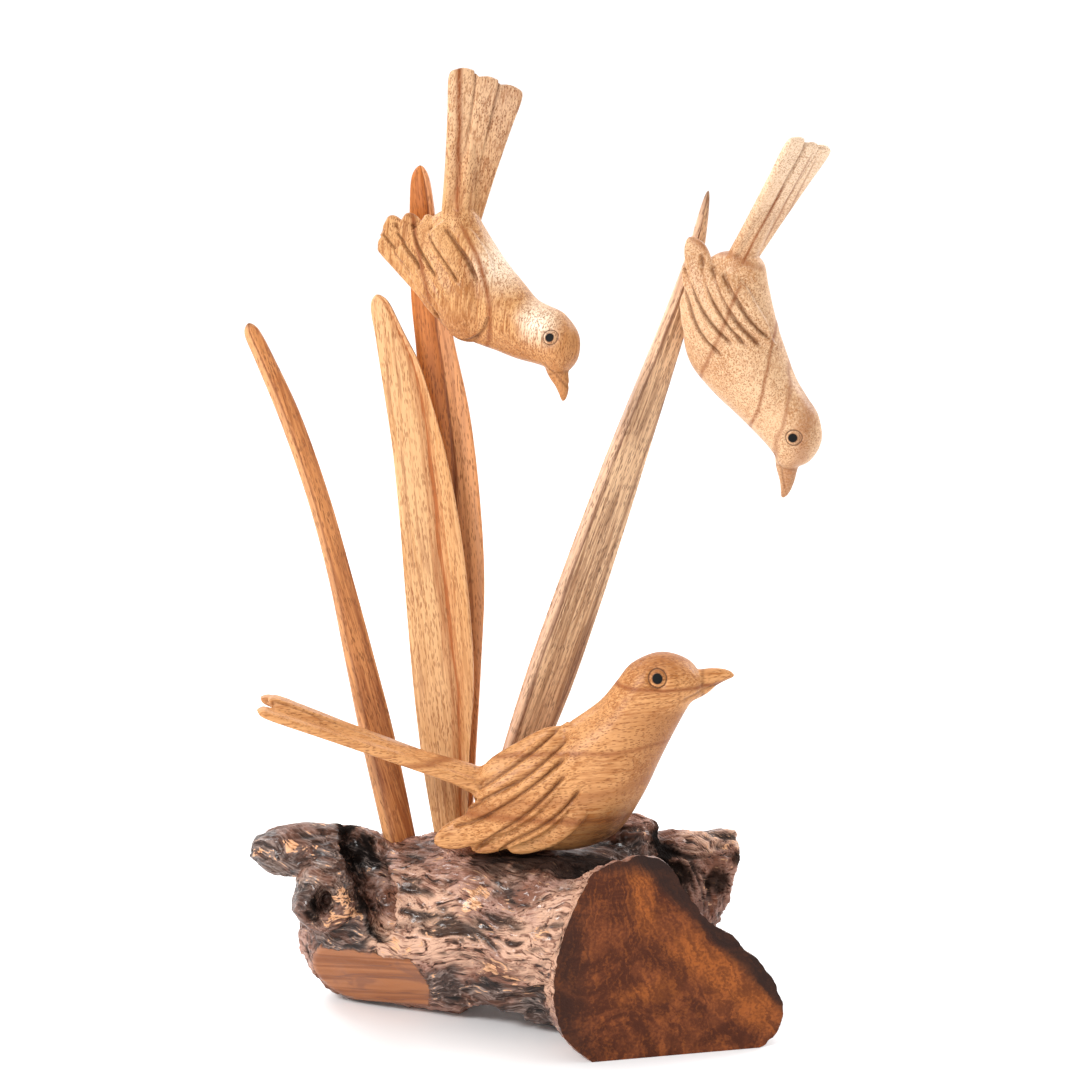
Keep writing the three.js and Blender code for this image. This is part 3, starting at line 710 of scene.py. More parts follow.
birdLook = {
    "deep": (0.34, 0.122, 0.033),
    "pale": (0.6, 0.29, 0.112),
    "fibre": (0.1, 1.6, 1.6),
    "streak": (0.34, 0.115, 0.03),
    "streaks": 0.4,
    "ring": (0.24, 0.064, 0.016),
    "pore": (0.22, 0.068, 0.018),
    "pores": 0.75,
    "poreScale": (0.5, 2.6, 2.6),
    "poreShare": 0.65,
    "cut": 1,
    "cutColour": (0.14, 0.044, 0.013),
    "gloss": 0.42,
    "coat": 0.1,
}
birdLooks = {
    "bird_low": {
        **birdLook,
        "grain": (1, 0, 0.1),
        "stripes": [
            {"plane": ((30, 0, 109.4), (0, 0, 1)), "wide": 1.2, "strength": 0.9, "wave": 0.5},
            {"plane": ((23.7, -20, 89.9), (-0.112, 0, 1)), "wide": 1.3, "strength": 0.75, "wave": 0.5},
            {"plane": ((23, -18, 77), (-0.18, 0, 1)), "wide": 3.5, "strength": 0.45},
            {"plane": ((27, -18, 68), (0, 0, 1)), "wide": 2.4, "strength": 0.8, "wave": 0.8},
            {"plane": ((0, 0, 119), (0, 0, 1)), "wide": 8, "strength": 0.5, "tone": (0.3, 0.1, 0.03)},
            # painted shadow under the belly, where it sits over the hollow of the root
            {"round": (27, 59, 0), "wide": 21, "strength": 1, "tone": (0.05, 0.015, 0.005)},
            # painted shade on the right side of the breast, below z 104
            {"plane": ((54, 0, 60), (1, 0, 0.1)), "wide": 32, "strength": 0.75, "tone": (0.26, 0.085, 0.022), "high": 104},
        ],
    },
    "bird_left": {
        **birdLook,
        "grain": (0.1, 0.1, 1),
        "pale": (0.6, 0.315, 0.13),
        "deep": (0.32, 0.12, 0.034),
        "poreScale": (0.85, 2.6, 2.6),
        "poreShare": 0.95,
        "pores": 0.85,
        "stripes": [
            {"plane": ((0, 0, 292), (0, 0, 1)), "wide": 46, "strength": 0.5, "tone": (0.78, 0.54, 0.36), "low": 236},
            {"plane": ((0, 0, 208), (0.35, 0, 1)), "wide": 15, "strength": 0.6, "tone": (0.36, 0.125, 0.034), "high": 236},
            # painted highlight on the neck and the back
            {"round": (2.5, 224.5, 0), "wide": 9.5, "strength": 1, "tone": (0.92, 0.74, 0.56), "low": 205},
            {"round": (-9, 241, 0), "wide": 13, "strength": 0.85, "tone": (0.92, 0.74, 0.56), "low": 205},
            {"round": (14, 219, 0), "wide": 12, "strength": 0.65, "tone": (0.42, 0.165, 0.05), "high": 240},
            {"round": (-58.5, 224.3, 46.6), "wide": 1.3, "strength": 0.95, "wave": 0.4, "high": 254},
            {"plane": ((-33.4, 0, 240), (0.976, 0, 0.2)), "wide": 1.3, "strength": 0.95, "wave": 0.5, "low": 226, "high": 258},
            {"round": (-58.5, 224.3, 78), "wide": 1.6, "strength": 0.6, "high": 240},
            {"plane": ((-21.6, 0, 270), (1, 0, -0.02)), "wide": 1.6, "strength": 1, "wave": 0.4, "low": 252},
            {"plane": ((-4, 0, 270), (1, 0, -0.2)), "wide": 1.4, "strength": 0.5, "wave": 0.8, "low": 262},
        ],
    },
    "bird_right": {
        **birdLook,
        "grain": (0.25, 0.8, 0.5),
        "poreScale": (1.7, 2.1, 2.1),
        "poreShare": 0.9,
        "pores": 0.75,
        "pore": (0.28, 0.1, 0.03),
        "fibre": (0.9, 1.7, 1.7),
        "pale": (0.68, 0.435, 0.255),
        "deep": (0.45, 0.225, 0.1),
        "streaks": 0.25,
        "stripes": [
            {"plane": ((0, 0, 282), (0, 0, 1)), "wide": 44, "strength": 0.8, "tone": (0.84, 0.64, 0.46), "low": 236},
            {"plane": ((72.7, -6.5, 207.5), (0.971, 0, -0.239)), "wide": 1, "strength": 0.8, "wave": 0.5, "high": 236},
            {"plane": ((56.1, -2.5, 213), (0.926, 0, -0.378)), "wide": 1.1, "strength": 0.7, "wave": 0.8, "high": 236},
            {"plane": ((78.8, -9.5, 199), (0.981, 0, -0.193)), "wide": 1.3, "strength": 0.6, "high": 214},
            {"plane": ((86, -9.5, 199), (0.981, 0, -0.193)), "wide": 5, "strength": 0.5, "high": 214},
            {"plane": ((64, 0, 241), (0.4, 0, 0.92)), "wide": 2, "strength": 0.6, "low": 236, "high": 250},
            {"plane": ((65, 0, 239.5), (0.9, 0, -0.44)), "wide": 0.8, "strength": 1, "wave": 0.2, "low": 238, "high": 266},
            {"plane": ((69.5, 0, 240), (0.9, 0, -0.42)), "wide": 0.5, "strength": 0.7, "wave": 0.2, "low": 244, "high": 276},
            {"plane": ((72.5, 0, 240), (0.9, 0, -0.4)), "wide": 0.5, "strength": 0.6, "wave": 0.2, "low": 250, "high": 274},
        ],
    },
}

# Leaves

leaves = {
    "leaf_left": {
        "rows": [
            (-41.5, 8, 42, 5, 2.2), (-43.5, 8, 52.5, 5.1, 2.2), (-50.1, 8, 85.1, 5.4, 2.2),
            (-55.7, 8, 111.3, 4.7, 2.1), (-61.4, 8, 137.4, 3.8, 1.9), (-68, 8, 163.2, 3.5, 1.8),
            (-76.4, 8, 188.7, 3.4, 1.7), (-84.3, 8, 207.7, 2.9, 1.5), (-88, 8, 215.8, 2.5, 1.3),
            (-89.3, 8, 219.3, 0, 0),
        ],
        "crease": [(40, -0.35), (110, -0.45), (219, -0.1)], "fold": -0.3, "turn": 6,
    },
    "leaf_centre": {
        "rows": [
            (-26.9, 7, 43, 5, 2.2), (-27.2, 7, 53.9, 5.1, 2.2), (-28.7, 7.4, 78.5, 7.4, 2.2),
            (-29.2, 7.6, 104.8, 9.7, 2.1), (-30.9, 7.8, 130.9, 10, 2), (-33.4, 8, 156.7, 9.3, 1.9),
            (-36.6, 8, 179.2, 8.1, 1.8), (-40.7, 8, 198.2, 6.6, 1.7), (-45.3, 8, 214, 4.3, 1.6),
            (-48.4, 8, 224.3, 2.8, 1.4), (-49.3, 8, 228.3, 0, 0),
        ],
        "crease": [(40, 0.8), (79, 0.62), (105, 0.33), (131, 0.24), (150, 0.36), (165, 0.57), (182, 0.88), (228, 0.95)],
        "fold": 0.22, "turn": 0,
    },
    "leaf_back": {
        "rows": [
            (-24.5, 16.5, 42, 4, 2.2), (-24.8, 16, 51.5, 4.4, 2.2), (-24.8, 15.8, 79.6, 6, 2.2),
            (-24.6, 15.6, 109.5, 7.6, 2.1), (-24.5, 15.4, 135.7, 8.6, 2), (-25.8, 15.2, 161.7, 8.6, 1.9),
            (-28, 15, 187.5, 7.9, 1.8), (-31, 14.8, 209.8, 6.3, 1.8), (-33.2, 14.6, 225.6, 5.5, 1.7),
            (-34.6, 14.4, 241.4, 4.5, 1.6), (-35.2, 14.2, 254.9, 3.8, 1.5), (-35.6, 14, 263.4, 2.9, 1.3),
            (-35.6, 14, 267.8, 0, 0),
        ],
        "crease": [(40, 0.5), (130, 0.1), (180, 0.2), (205, 0.42), (230, 0.5), (268, 0.3)], "fold": 0.22, "turn": -8,
    },
    "leaf_right": {
        "rows": [
            (-15.4, 10, 42, 4.8, 2.2), (-12.1, 10, 53.3, 5.2, 2.2), (-4.2, 10, 77.9, 6.3, 2.3),
            (5.1, 10, 104.3, 7.5, 2.3), (13.9, 10, 130.4, 7.4, 2.2), (22.5, 10, 156.3, 6.8, 2.1),
            (31, 10, 182, 5.9, 2), (38.6, 10, 204.2, 4.9, 1.9), (44.9, 10, 223.1, 3.9, 1.7),
            (49.8, 10, 240.8, 2.6, 1.4), (53.6, 10, 260.4, 0, 0),
        ],
        "crease": [(40, -0.7), (110, -0.72), (165, -0.68), (200, -0.45), (240, -0.2), (260, 0)], "fold": -0.3, "turn": 10,
    },
}


def creaseAt(form, t):
    heights = [z for z, _ in form["crease"]]
    return float(np.interp(heights[0] + (heights[-1] - heights[0]) * t, heights, [side for _, side in form["crease"]]))


def bladeShape(form):
    def shape(angle, t, wide, deep):
        across = math.cos(angle)
        thick = math.copysign(abs(math.sin(angle)) ** 0.6, math.sin(angle))
        shifted = across + creaseAt(form, t) * (1 - across * across)
        groove = 0.3 * math.exp(-(across / 0.1) ** 2)
        return wide * shifted, (deep - groove) * thick - form["fold"] * wide * (abs(across) - 0.5)

    return shape


def keepSides(mesh, form, rows):
    # How far each point lies to the side of the crease, and out towards the edges
    spots, _ = spotsOf(mesh)
    spine = course([row[:4] for row in rows])
    line = np.array([spine(i / 200) for i in range(201)])
    _, where = distanceAlong(spots[:, [0, 2]], line[:, [0, 2]])
    place = np.array([np.interp(where * 200, np.arange(201), line[:, i]) for i in range(4)])
    run = np.array([rows[-1][0] - rows[0][0], rows[-1][2] - rows[0][2]])
    run /= np.linalg.norm(run)
    across = ((spots[:, 0] - place[0]) * run[1] - (spots[:, 2] - place[2]) * run[0]) / np.maximum(place[3], 0.5)
    crease = np.array([creaseAt(form, t) for t in where])
    keepValues(mesh, "side", across - crease)
    keepValues(mesh, "edge", np.abs(across))
    # darker towards the tip, on leaves whose turn is above 0
    keepValues(mesh, "cut", 0.8 * eased(where, 0.94, 1.0) if form["turn"] > 0 else 0 * where)


def makeLeaf(name, material):
    form = leaves[name]
    turn = math.radians(form["turn"])
    bm = bmesh.new()
    rows = [(x - middle.x, y - middle.y, z, wide, deep) for x, y, z, wide, deep in form["rows"]]
    limb(bm, rows, around=72, along=240, across=(math.cos(turn), math.sin(turn), 0), shape=bladeShape(form))
    leaf = finishMesh(bm, name + "Carved", [material])
    keepSides(leaf.data, form, rows)
    leaf.data.transform(Matrix.Scale(mm, 4))
    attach(leaf, "root")
    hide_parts(name)
    print(name, len(leaf.data.polygons), "faces")


leafLook = {
    "deep": (0.29, 0.09, 0.026),
    "pale": (0.54, 0.225, 0.08),
    "fibre": (0.05, 1.5, 1.5),
    "streak": (0.25, 0.075, 0.022),
    "streaks": 0.55,
    "pore": (0.17, 0.052, 0.016),
    "pores": 0.75,
    "poreScale": (0.36, 2.7, 2.7),
    "poreShare": 0.75,
    "cut": 0.75,
    "cutColour": (0.13, 0.05, 0.022),
    "gloss": 0.4,
    "coat": 0.15,
}
# In each blade's table the left and right tones are painted light and shade on the two faces beside the crease, and the
# lines are growth lines
leafLooks = {
    "leaf_left": {
        **leafLook,
        "pale": (0.62, 0.265, 0.092),
        "grain": (-0.27, 0, 0.96),
        "sideLightAndLines": {"left": (0.7, 0.38, 0.19), "leftLightShare": 0.35, "right": (0.36, 0.11, 0.035), "rightLightShare": 0.25,
                  "line": (0.22, 0.065, 0.024), "lines": [(0, 0.2, 0.6), (1.1, 0.25, 0.4)]},
    },
    "leaf_centre": {
        **leafLook,
        "grain": (-0.1, 0, 1),
        "pale": (0.7, 0.395, 0.185),
        "deep": (0.5, 0.235, 0.085),
        "pore": (0.3, 0.1, 0.03),
        "poreShare": 0.85,
        "sideLightAndLines": {"left": (0.72, 0.43, 0.22), "leftLightShare": 0.1, "right": (0.55, 0.25, 0.085), "rightLightShare": 0.5,
                  "line": (0.36, 0.1, 0.022), "lines": [(0, 0.14, 1), (-0.2, 0.14, 0.45), (0.18, 0.08, 0.5)]},
    },
    "leaf_back": {
        **leafLook,
        "grain": (-0.08, 0, 1),
        "pale": (0.56, 0.21, 0.06),
        "deep": (0.34, 0.1, 0.026),
        "sideLightAndLines": {"left": (0.5, 0.16, 0.036), "leftLightShare": 0.45, "right": (0.68, 0.35, 0.17), "rightLightShare": 0.5,
                  "line": (0.18, 0.05, 0.016), "lines": [(0, 0.12, 0.9), (0.3, 0.1, 0.4)]},
    },
    "leaf_right": {
        **leafLook,
        "grain": (0.33, 0, 0.94),
        "pale": (0.72, 0.46, 0.27),
        "deep": (0.31, 0.15, 0.072),
        "streak": (0.22, 0.1, 0.046),
        "streaks": 0.7,
        "pore": (0.12, 0.05, 0.022),
        "sideLightAndLines": {"left": (0.7, 0.44, 0.3), "leftLightShare": 0.5, "right": (0.5, 0.3, 0.16), "rightLightShare": 0.15,
                  "line": (0.16, 0.06, 0.028), "lines": [(0, 0.16, 0.85), (1.45, 0.14, 0.7), (-0.3, 0.06, 0.4)]},
    },
}

# Root block

rootShape = {
    "trunk": [(-76, 12, 17, 0, 0), (-60, 9, 20, 22, 21), (-34, 2, 26.5, 27, 28), (-4, -10, 28, 29, 28),
              (20, -30, 29, 24, 27), (32, -50, 28, 15, 20), (37, -60, 28, 0, 0)],
    "stub": [(-38, 8, 30, 12, 14), (-54, 6, 42, 13, 13), (-70, 4, 49, 12, 9.5), (-83, 4, 49.5, 10, 7.5),
             (-91.5, 4, 48.5, 0, 0)],
    "lobe": [(-63, 4, 48, 10, 10), (-64, -4, 44, 11, 11), (-66, -12, 39, 10.5, 10.5),
             (-67, -18, 37, 8.5, 9), (-67, -20.5, 36.5, 0, 0)],
    "knob": [(10, -4, 30, 17, 18), (20, -2, 40, 15, 16), (28, 2, 49, 11.5, 13), (31.5, 5, 57, 8.5, 8.5),
             (32.5, 6, 61.5, 0, 0)],
    "rearStub": [(18, 4, 28, 18, 20), (36, 9, 32, 16, 20), (52, 14, 36, 14, 17), (66, 18, 39, 13, 14),
                 (76, 21, 41, 0, 0)],
    "heel": [(-40, 10, 20, 20, 20), (-34, 24, 18, 19, 20), (-28, 36, 14, 14, 16), (-24, 42, 12, 0, 0)],
    "spar": [(-47, 8, 50, 4, 2.4), (-52.5, 8, 53, 3.2, 1.6), (-57.5, 8, 55.6, 2, 1.1), (-60.5, 8, 56.8, 0, 0)],
    "seat": [(-38, -12, 61, 0, 0), (-31, -12, 61, 13, 11), (-12, -12, 61, 17, 13), (10, -12, 61, 17, 13),
             (23, -12, 61, 12, 9), (31, -12, 63, 0, 0)],
    "seatHeight": 54.1,
    "planed": ((-32, -27, 23), (-0.36, -0.81, -0.47)),
    "planedTop": 22.3,
    "planedEnd": -34.5,
    "broken": ((62.8, 20, 45), (0.95, 0.15, -0.28)),
    "sawFoot": (19, -55.1, 0),
    "sawTurn": 14,
    "sawLean": 8,
    # outline of the sawn face, along its foot and up it
    "sawOutline": [
        (0, -2), (-7.5, 4.5), (-11.5, 10), (-13.2, 18.5), (-12.8, 26), (-10.9, 36), (-8.2, 43.5), (-4.1, 51.5),
        (0.7, 59), (4.2, 60.8), (8.9, 62.4), (12.2, 61.6), (14.2, 63.4), (18.3, 63), (22.4, 62.2), (25, 60),
        (27, 56.4), (32.5, 47.6), (36.2, 42.4), (40.5, 39), (45.2, 36.2), (48, 32.4), (52.5, 28.5), (57.9, 21.5),
        (61, 13.1), (60.7, 6.6), (57, 2.3), (52, -1.5),
    ],
    "sawAhead": 4,
    "buttressDeep": 52,
    "buttressTaper": 0.55,
    "voxel": 0.78,
    "barkDeep": 1.35,
}

rootHollows = {
    "crevice": {
        "rows": [(-61, 6, 60, 1, 1), (-57.5, -3, 52.5, 4.5, 7), (-52, -11, 45, 6, 9), (-48.5, -17, 38, 5.5, 9),
                 (-50.5, -24, 32, 4, 6), (-53, -31, 27, 0, 0)],
        "across": (1, 0, 0.4),
    },
    "pit": {"rows": [(-66.5, -28, 40, 0, 0), (-66.5, -21, 39.5, 3.4, 6), (-66, -10, 39, 0, 0)], "across": (1, 0, 0)},
    "arch": {
        "rows": [(-14, -70, -6, 0, 0), (-13, -40, -2, 12, 9), (-11, -10, -2, 13, 10), (-9, 20, -3, 12, 8),
                 (-8, 60, -6, 0, 0)],
        "across": (1, 0, 0),
    },
    "saddle": {  # behind the top rim of the sawn face, under the breast of the low bird
        "rows": [(-6, -38, 68, 0, 0), (6, -35, 62, 7, 8), (18, -31, 60, 9, 9), (30, -28, 62, 8, 8), (40, -26, 68, 0, 0)],
        "across": (0, 1, 0),
    },
}

# Places on the bark: x, y, z, reach and strength
rootMarks = {
    "char": [
        (-84, 2, 50, 26, 0.8), (-66, -6, 46, 20, 0.75), (-57, -2, 50, 8, 1), (-52, -12, 44, 6, 1),
        (-51, -21, 34, 6, 1), (-62, -10, 24, 10, 0.8), (26, -18, 54, 16, 0.8),
        (-28, -24, 12, 9, 0.8), (-20, -30, 9, 8, 0.7), (-14, -30, 9, 9, 0.8), (-2, -34, 5, 11, 0.8),
        (-36, -6, 55, 8, 0.5), (-8, -26, 47, 7, 0.5),
    ],
    # painted shadow in the crevice, the pits and gaps, and on the seat under the low bird
    "paintedShadow": [
        (-60, 4, 57, 4, 1), (-57, -3, 52, 6.5, 1), (-53.5, -9, 47, 6.5, 1), (-51, -14, 40, 6, 1), (-50, -20, 34, 5, 1),
        (-68, -20, 39, 3.6, 1), (-70, -19, 36, 3, 0.8), (10, -26, 54, 11, 0.9), (21, -24, 54, 11, 0.9),
        (0, -22, 55, 9, 0.9), (-12, -18, 55, 9, 0.8), (30, -20, 51, 7, 0.8), (40, 2, 52, 7, 1), (46, -2, 44, 5, 0.9),
        (58, 2, 40, 4, 0.9), (66, 6, 46, 3, 0.9),
    ],
    # pale bark; the two on the rear stub's top, (54, 10, 56) and (66, 14, 54), are a painted highlight
    "pale": [
        (-33, -26, 35, 13, 1), (-42, -22, 31, 10, 1), (-46, -18, 27, 8, 1), (-22, -32, 30, 9, 0.8), (5, -48, 46, 10, 1),
        (4, -44, 28, 14, 1), (-5, -42, 34, 9, 0.9), (12, -46, 54, 8, 0.8), (-40, -16, 46, 7, 0.5), (-10, -26, 52, 7, 0.5),
        (54, 10, 56, 9, 1), (66, 14, 54, 7, 1), (36, -14, 40, 6, 0.5), (-86, -4, 46, 7, 0.5), (-70, -14, 46, 6, 0.6),
        (-62, -18, 42, 5, 0.6), (46, -8, 36, 5, 0.8),
    ],
    "bare": [
        (-91, -3, 50, 3, 0.9), (-82, -6, 56, 2.6, 0.8), (-77, -7, 55.5, 2.6, 0.8), (-72, -8, 54, 2.6, 0.75),
        (-68, -8, 50, 2, 0.7), (-60, -20, 40, 4, 0.6), (-57.5, -19, 35, 3.4, 0.6), (-63, -19, 34, 2.6, 0.5),
        (-20, -29, 42.5, 3.4, 0.8), (-16, -28, 46, 2.4, 0.7), (-25, -27, 40, 2, 0.6),
        (-13, -34, 24, 3, 0.8), (-8, -37, 20, 3, 0.75), (-2, -40, 17, 2.6, 0.65), (13, -47.5, 56, 3, 0.7),
        (-44, -25, 25, 4, 0.5), (62, 10, 48, 3.4, 0.5), (-48, 3, 56, 2, 0.5), (1, -45, 38, 3, 0.5), (9, -48, 22, 3, 0.5),
    ],
}


def cutFlat(bm, spot, facing, slot=0):
    # Takes away what lies on the side that the cut faces, and closes it
    facing = Vector(facing).normalized()
    result = bmesh.ops.bisect_plane(bm, geom=bm.verts[:] + bm.edges[:] + bm.faces[:], dist=1e-4,
                                    plane_co=Vector(spot), plane_no=facing, clear_outer=True)
    rim = [part for part in result["geom_cut"] if isinstance(part, bmesh.types.BMEdge) and part.is_valid]
    made = bmesh.ops.triangle_fill(bm, edges=rim, use_beauty=True, normal=facing)["geom"]
    for face in made:
        if isinstance(face, bmesh.types.BMFace):
            face.material_index = slot
    return rim


def sawFrame():
    turn = math.radians(rootShape["sawTurn"])
    lean = math.radians(rootShape["sawLean"])
    return (Matrix.Translation(Vector(rootShape["sawFoot"])) @ Matrix.Rotation(turn, 4, "Z")
            @ Matrix.Rotation(math.pi / 2 - lean, 4, "X"))


def addButtress(bm):
    # The outline of the sawn face, run back with a taper and a little ahead of the cut
    start = [bm.verts.new((along, up, 0)) for along, up in rootShape["sawOutline"]]
    edges = [bm.edges.new(pair) for pair in zip(start, start[1:] + start[:1])]
    bm.faces.new(start)
    rings = [start]
    steps = 8
    for step in range(steps):
        made = bmesh.ops.extrude_edge_only(bm, edges=edges)["geom"]
        rings.append([part for part in made if isinstance(part, bmesh.types.BMVert)])
        edges = [part for part in made if isinstance(part, bmesh.types.BMEdge)
                 and all(vert in rings[-1] for vert in part.verts)]
    bmesh.ops.holes_fill(bm, edges=edges)
    saw = sawFrame()
    for step, ring in enumerate(rings):
        back = step / steps
        keep = 1 - (1 - rootShape["buttressTaper"]) * back ** 1.3
        out = rootShape["sawAhead"] if step == 0 else -back * rootShape["buttressDeep"]
        for vert in ring:
            along = -4 + (vert.co.x + 4) * keep
            up = 24 + (vert.co.y - 24) * (1 - 0.3 * back)
            vert.co = saw @ Vector((along, up, out))
    bm.normal_update()
    bmesh.ops.recalc_face_normals(bm, faces=bm.faces[:])


def barkHeight(spot):
    # Ridges that run along the trunk, wrinkles, lumps, flakes and grit
    if spot.x > 40 and spot.y > -6:
        along = Vector((0.95, 0.2, 0.2)) if spot.z > 47 else Vector((0.45, -0.2, -0.87))
    else:
        along = Vector((0.8, -0.58, 0.1)) if spot.x > -50 else Vector((0.95, -0.2, 0.1))
    run = spot.dot(along)
    bent = spot - along * run + noise.noise_vector(spot * 0.045) * 6
    ridge = 1 - 2.4 * abs(noise.noise(Vector((run * 0.03, bent.y * 0.12, bent.z * 0.14 + bent.x * 0.08))))
    wrinkle = 1 - 2.6 * abs(noise.noise(Vector((run * 0.07 + 9, bent.y * 0.32, bent.z * 0.32 + bent.x * 0.2))))
    crease = 1 - 2.6 * abs(noise.noise(Vector((run * 0.15, bent.y * 0.6 + 5, bent.z * 0.6 + bent.x * 0.4))))
    lumps = noise.noise(spot * 0.07 + Vector((7, 2, 5)))
    plate = min(max(noise.noise(Vector((run * 0.07, bent.y * 0.2, bent.z * 0.2 + 20))) * 9, 0), 1)
    return 0.5 * ridge + 0.55 * wrinkle + 0.3 * crease + 0.8 * lumps + 0.35 * plate - 0.83


def markAt(spot, marks, fray):
    # How strongly a group of marks covers a spot, with a frayed edge
    best = 0
    for x, y, z, reach, strength in marks:
        gap = (spot - Vector((x, y, z))).length / reach + fray
        best = max(best, strength * min(max((1.22 - gap) / 0.45, 0), 1))
    return best


def asPiece(build):
    bm = bmesh.new()
    build(bm)
    return finishMesh(bm, "part", [])


def makeRoot(materials):
    def flatTrunk(bm):
        limb(bm, rootShape["trunk"], around=48, along=40)
        cutFlat(bm, *rootShape["planed"])

    def brokenStub(bm):
        limb(bm, rootShape["rearStub"])
        cutFlat(bm, *rootShape["broken"])

    def seat(bm):
        limb(bm, rootShape["seat"])
        cutFlat(bm, (0, 0, rootShape["seatHeight"]), (0, 0, -1))

    solids = [asPiece(flatTrunk), asPiece(brokenStub), asPiece(addButtress)]
    bm = bmesh.new()
    for solid in solids:
        bm.from_mesh(solid.data)
    for name in ("stub", "lobe", "knob", "heel", "spar"):
        limb(bm, rootShape[name])
    block = finishMesh(fused(bm, rootShape["voxel"], "root"), "rootBlock", [])
    hollows = [asPiece(seat)]
    hollows += [asPiece(lambda bm, form=form: limb(bm, **form)) for form in rootHollows.values()]
    for hollow in hollows:
        cutter = block.modifiers.new(hollow.name, "BOOLEAN")
        cutter.operation = "DIFFERENCE"
        cutter.object = hollow
    bm = bmesh.new()
    bm.from_mesh(bpy.data.meshes.new_from_object(block.evaluated_get(bpy.context.evaluated_depsgraph_get())))
    for piece in (*hollows, *solids, block):
        bpy.data.objects.remove(piece)
    bm = fused(bm, rootShape["voxel"], "root")
    for _ in range(2):
        bmesh.ops.smooth_vert(bm, verts=bm.verts, factor=0.5, use_axis_x=True, use_axis_y=True, use_axis_z=True)
    bm.normal_update()
    roughenBark(bm)
    cutFlat(bm, (0, 0, 0), (0, 0, -1))
    saw = sawFrame()
    rim = cutFlat(bm, saw.to_translation(), saw.to_3x3() @ Vector((0, 0, 1)), slot=1)
    for edge in rim:
        edge.smooth = False
    bmesh.ops.transform(bm, matrix=Matrix.Scale(mm, 4) @ Matrix.Translation(-middle), verts=bm.verts)
    root = finishMesh(bm, "rootCarved", materials, smooth=False)
    root.data.polygons.foreach_set("use_smooth", [polygon.material_index == 0 for polygon in root.data.polygons])
    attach(root, "root")
    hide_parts("root_base")
    print("root", len(root.data.polygons), "faces")


def roughenBark(bm):
    # Raises the bark and keeps its height and where it is planed, pale, charred or bare, and where painted shadow goes
    planedSpot, planedFacing = Vector(rootShape["planed"][0]), Vector(rootShape["planed"][1]).normalized()
    saw = sawFrame()
    sawSpot, sawFacing = saw.to_translation(), saw.to_3x3() @ Vector((0, 0, 1))
    layers = {name: bm.verts.layers.float.new(name) for name in ("height", "planed", *rootMarks)}
    for vert in bm.verts:
        spot = vert.co.copy()
        edge = noise.noise(spot * 0.25) * 1.2
        onPlane = abs((spot - planedSpot).dot(planedFacing)) < 1.2 and vert.normal.dot(planedFacing) > 0.8
        end = rootShape["planedEnd"] + 0.2 * (16 - spot.z) - 0.03 * (spot.z - 11) ** 2
        planed = onPlane and spot.z < rootShape["planedTop"] + edge and spot.x < end + edge * 0.5
        seated = rootShape["seatHeight"] - 2 < spot.z < 55 and -30 < spot.x < 24 and -25 < spot.y < 0
        nearSaw = min(max((sawSpot - spot).dot(sawFacing) / 9, 0), 1)
        height = barkHeight(spot)
        fray = noise.noise(spot * 0.3) * 0.6 + noise.noise(spot * 0.9) * 0.35
        vert[layers["height"]] = height
        vert[layers["planed"]] = planed
        for name, marks in rootMarks.items():
            vert[layers[name]] = markAt(spot, marks, fray * (1.3 if name == "bare" else 0.5))
        share = 0.04 if planed else 0.2 if seated else 0.35 + 0.65 * nearSaw
        if spot.x < -52:
            share *= 0.75
        vert.co += vert.normal * (height * rootShape["barkDeep"] * share)


rootLook = {
    "dark": (0.018, 0.008, 0.005),
    "brown": (0.2, 0.082, 0.05),
    "mauve": (0.46, 0.265, 0.205),
    "pale": (0.68, 0.41, 0.28),
    "tan": (0.74, 0.4, 0.22),
    "tanDark": (0.4, 0.18, 0.08),
    "charDark": (0.014, 0.011, 0.01),
    "charPale": (0.27, 0.21, 0.185),
    "paintedShadow": (0.008, 0.005, 0.004),
    "planed": (0.37, 0.145, 0.062),
    "planedLine": (0.24, 0.085, 0.036),
    "sawn": (0.07, 0.02, 0.01),
    "sawnRed": (0.19, 0.054, 0.02),
    "sawnOrange": (0.38, 0.108, 0.025),
    "sawnDark": (0.022, 0.013, 0.011),
}


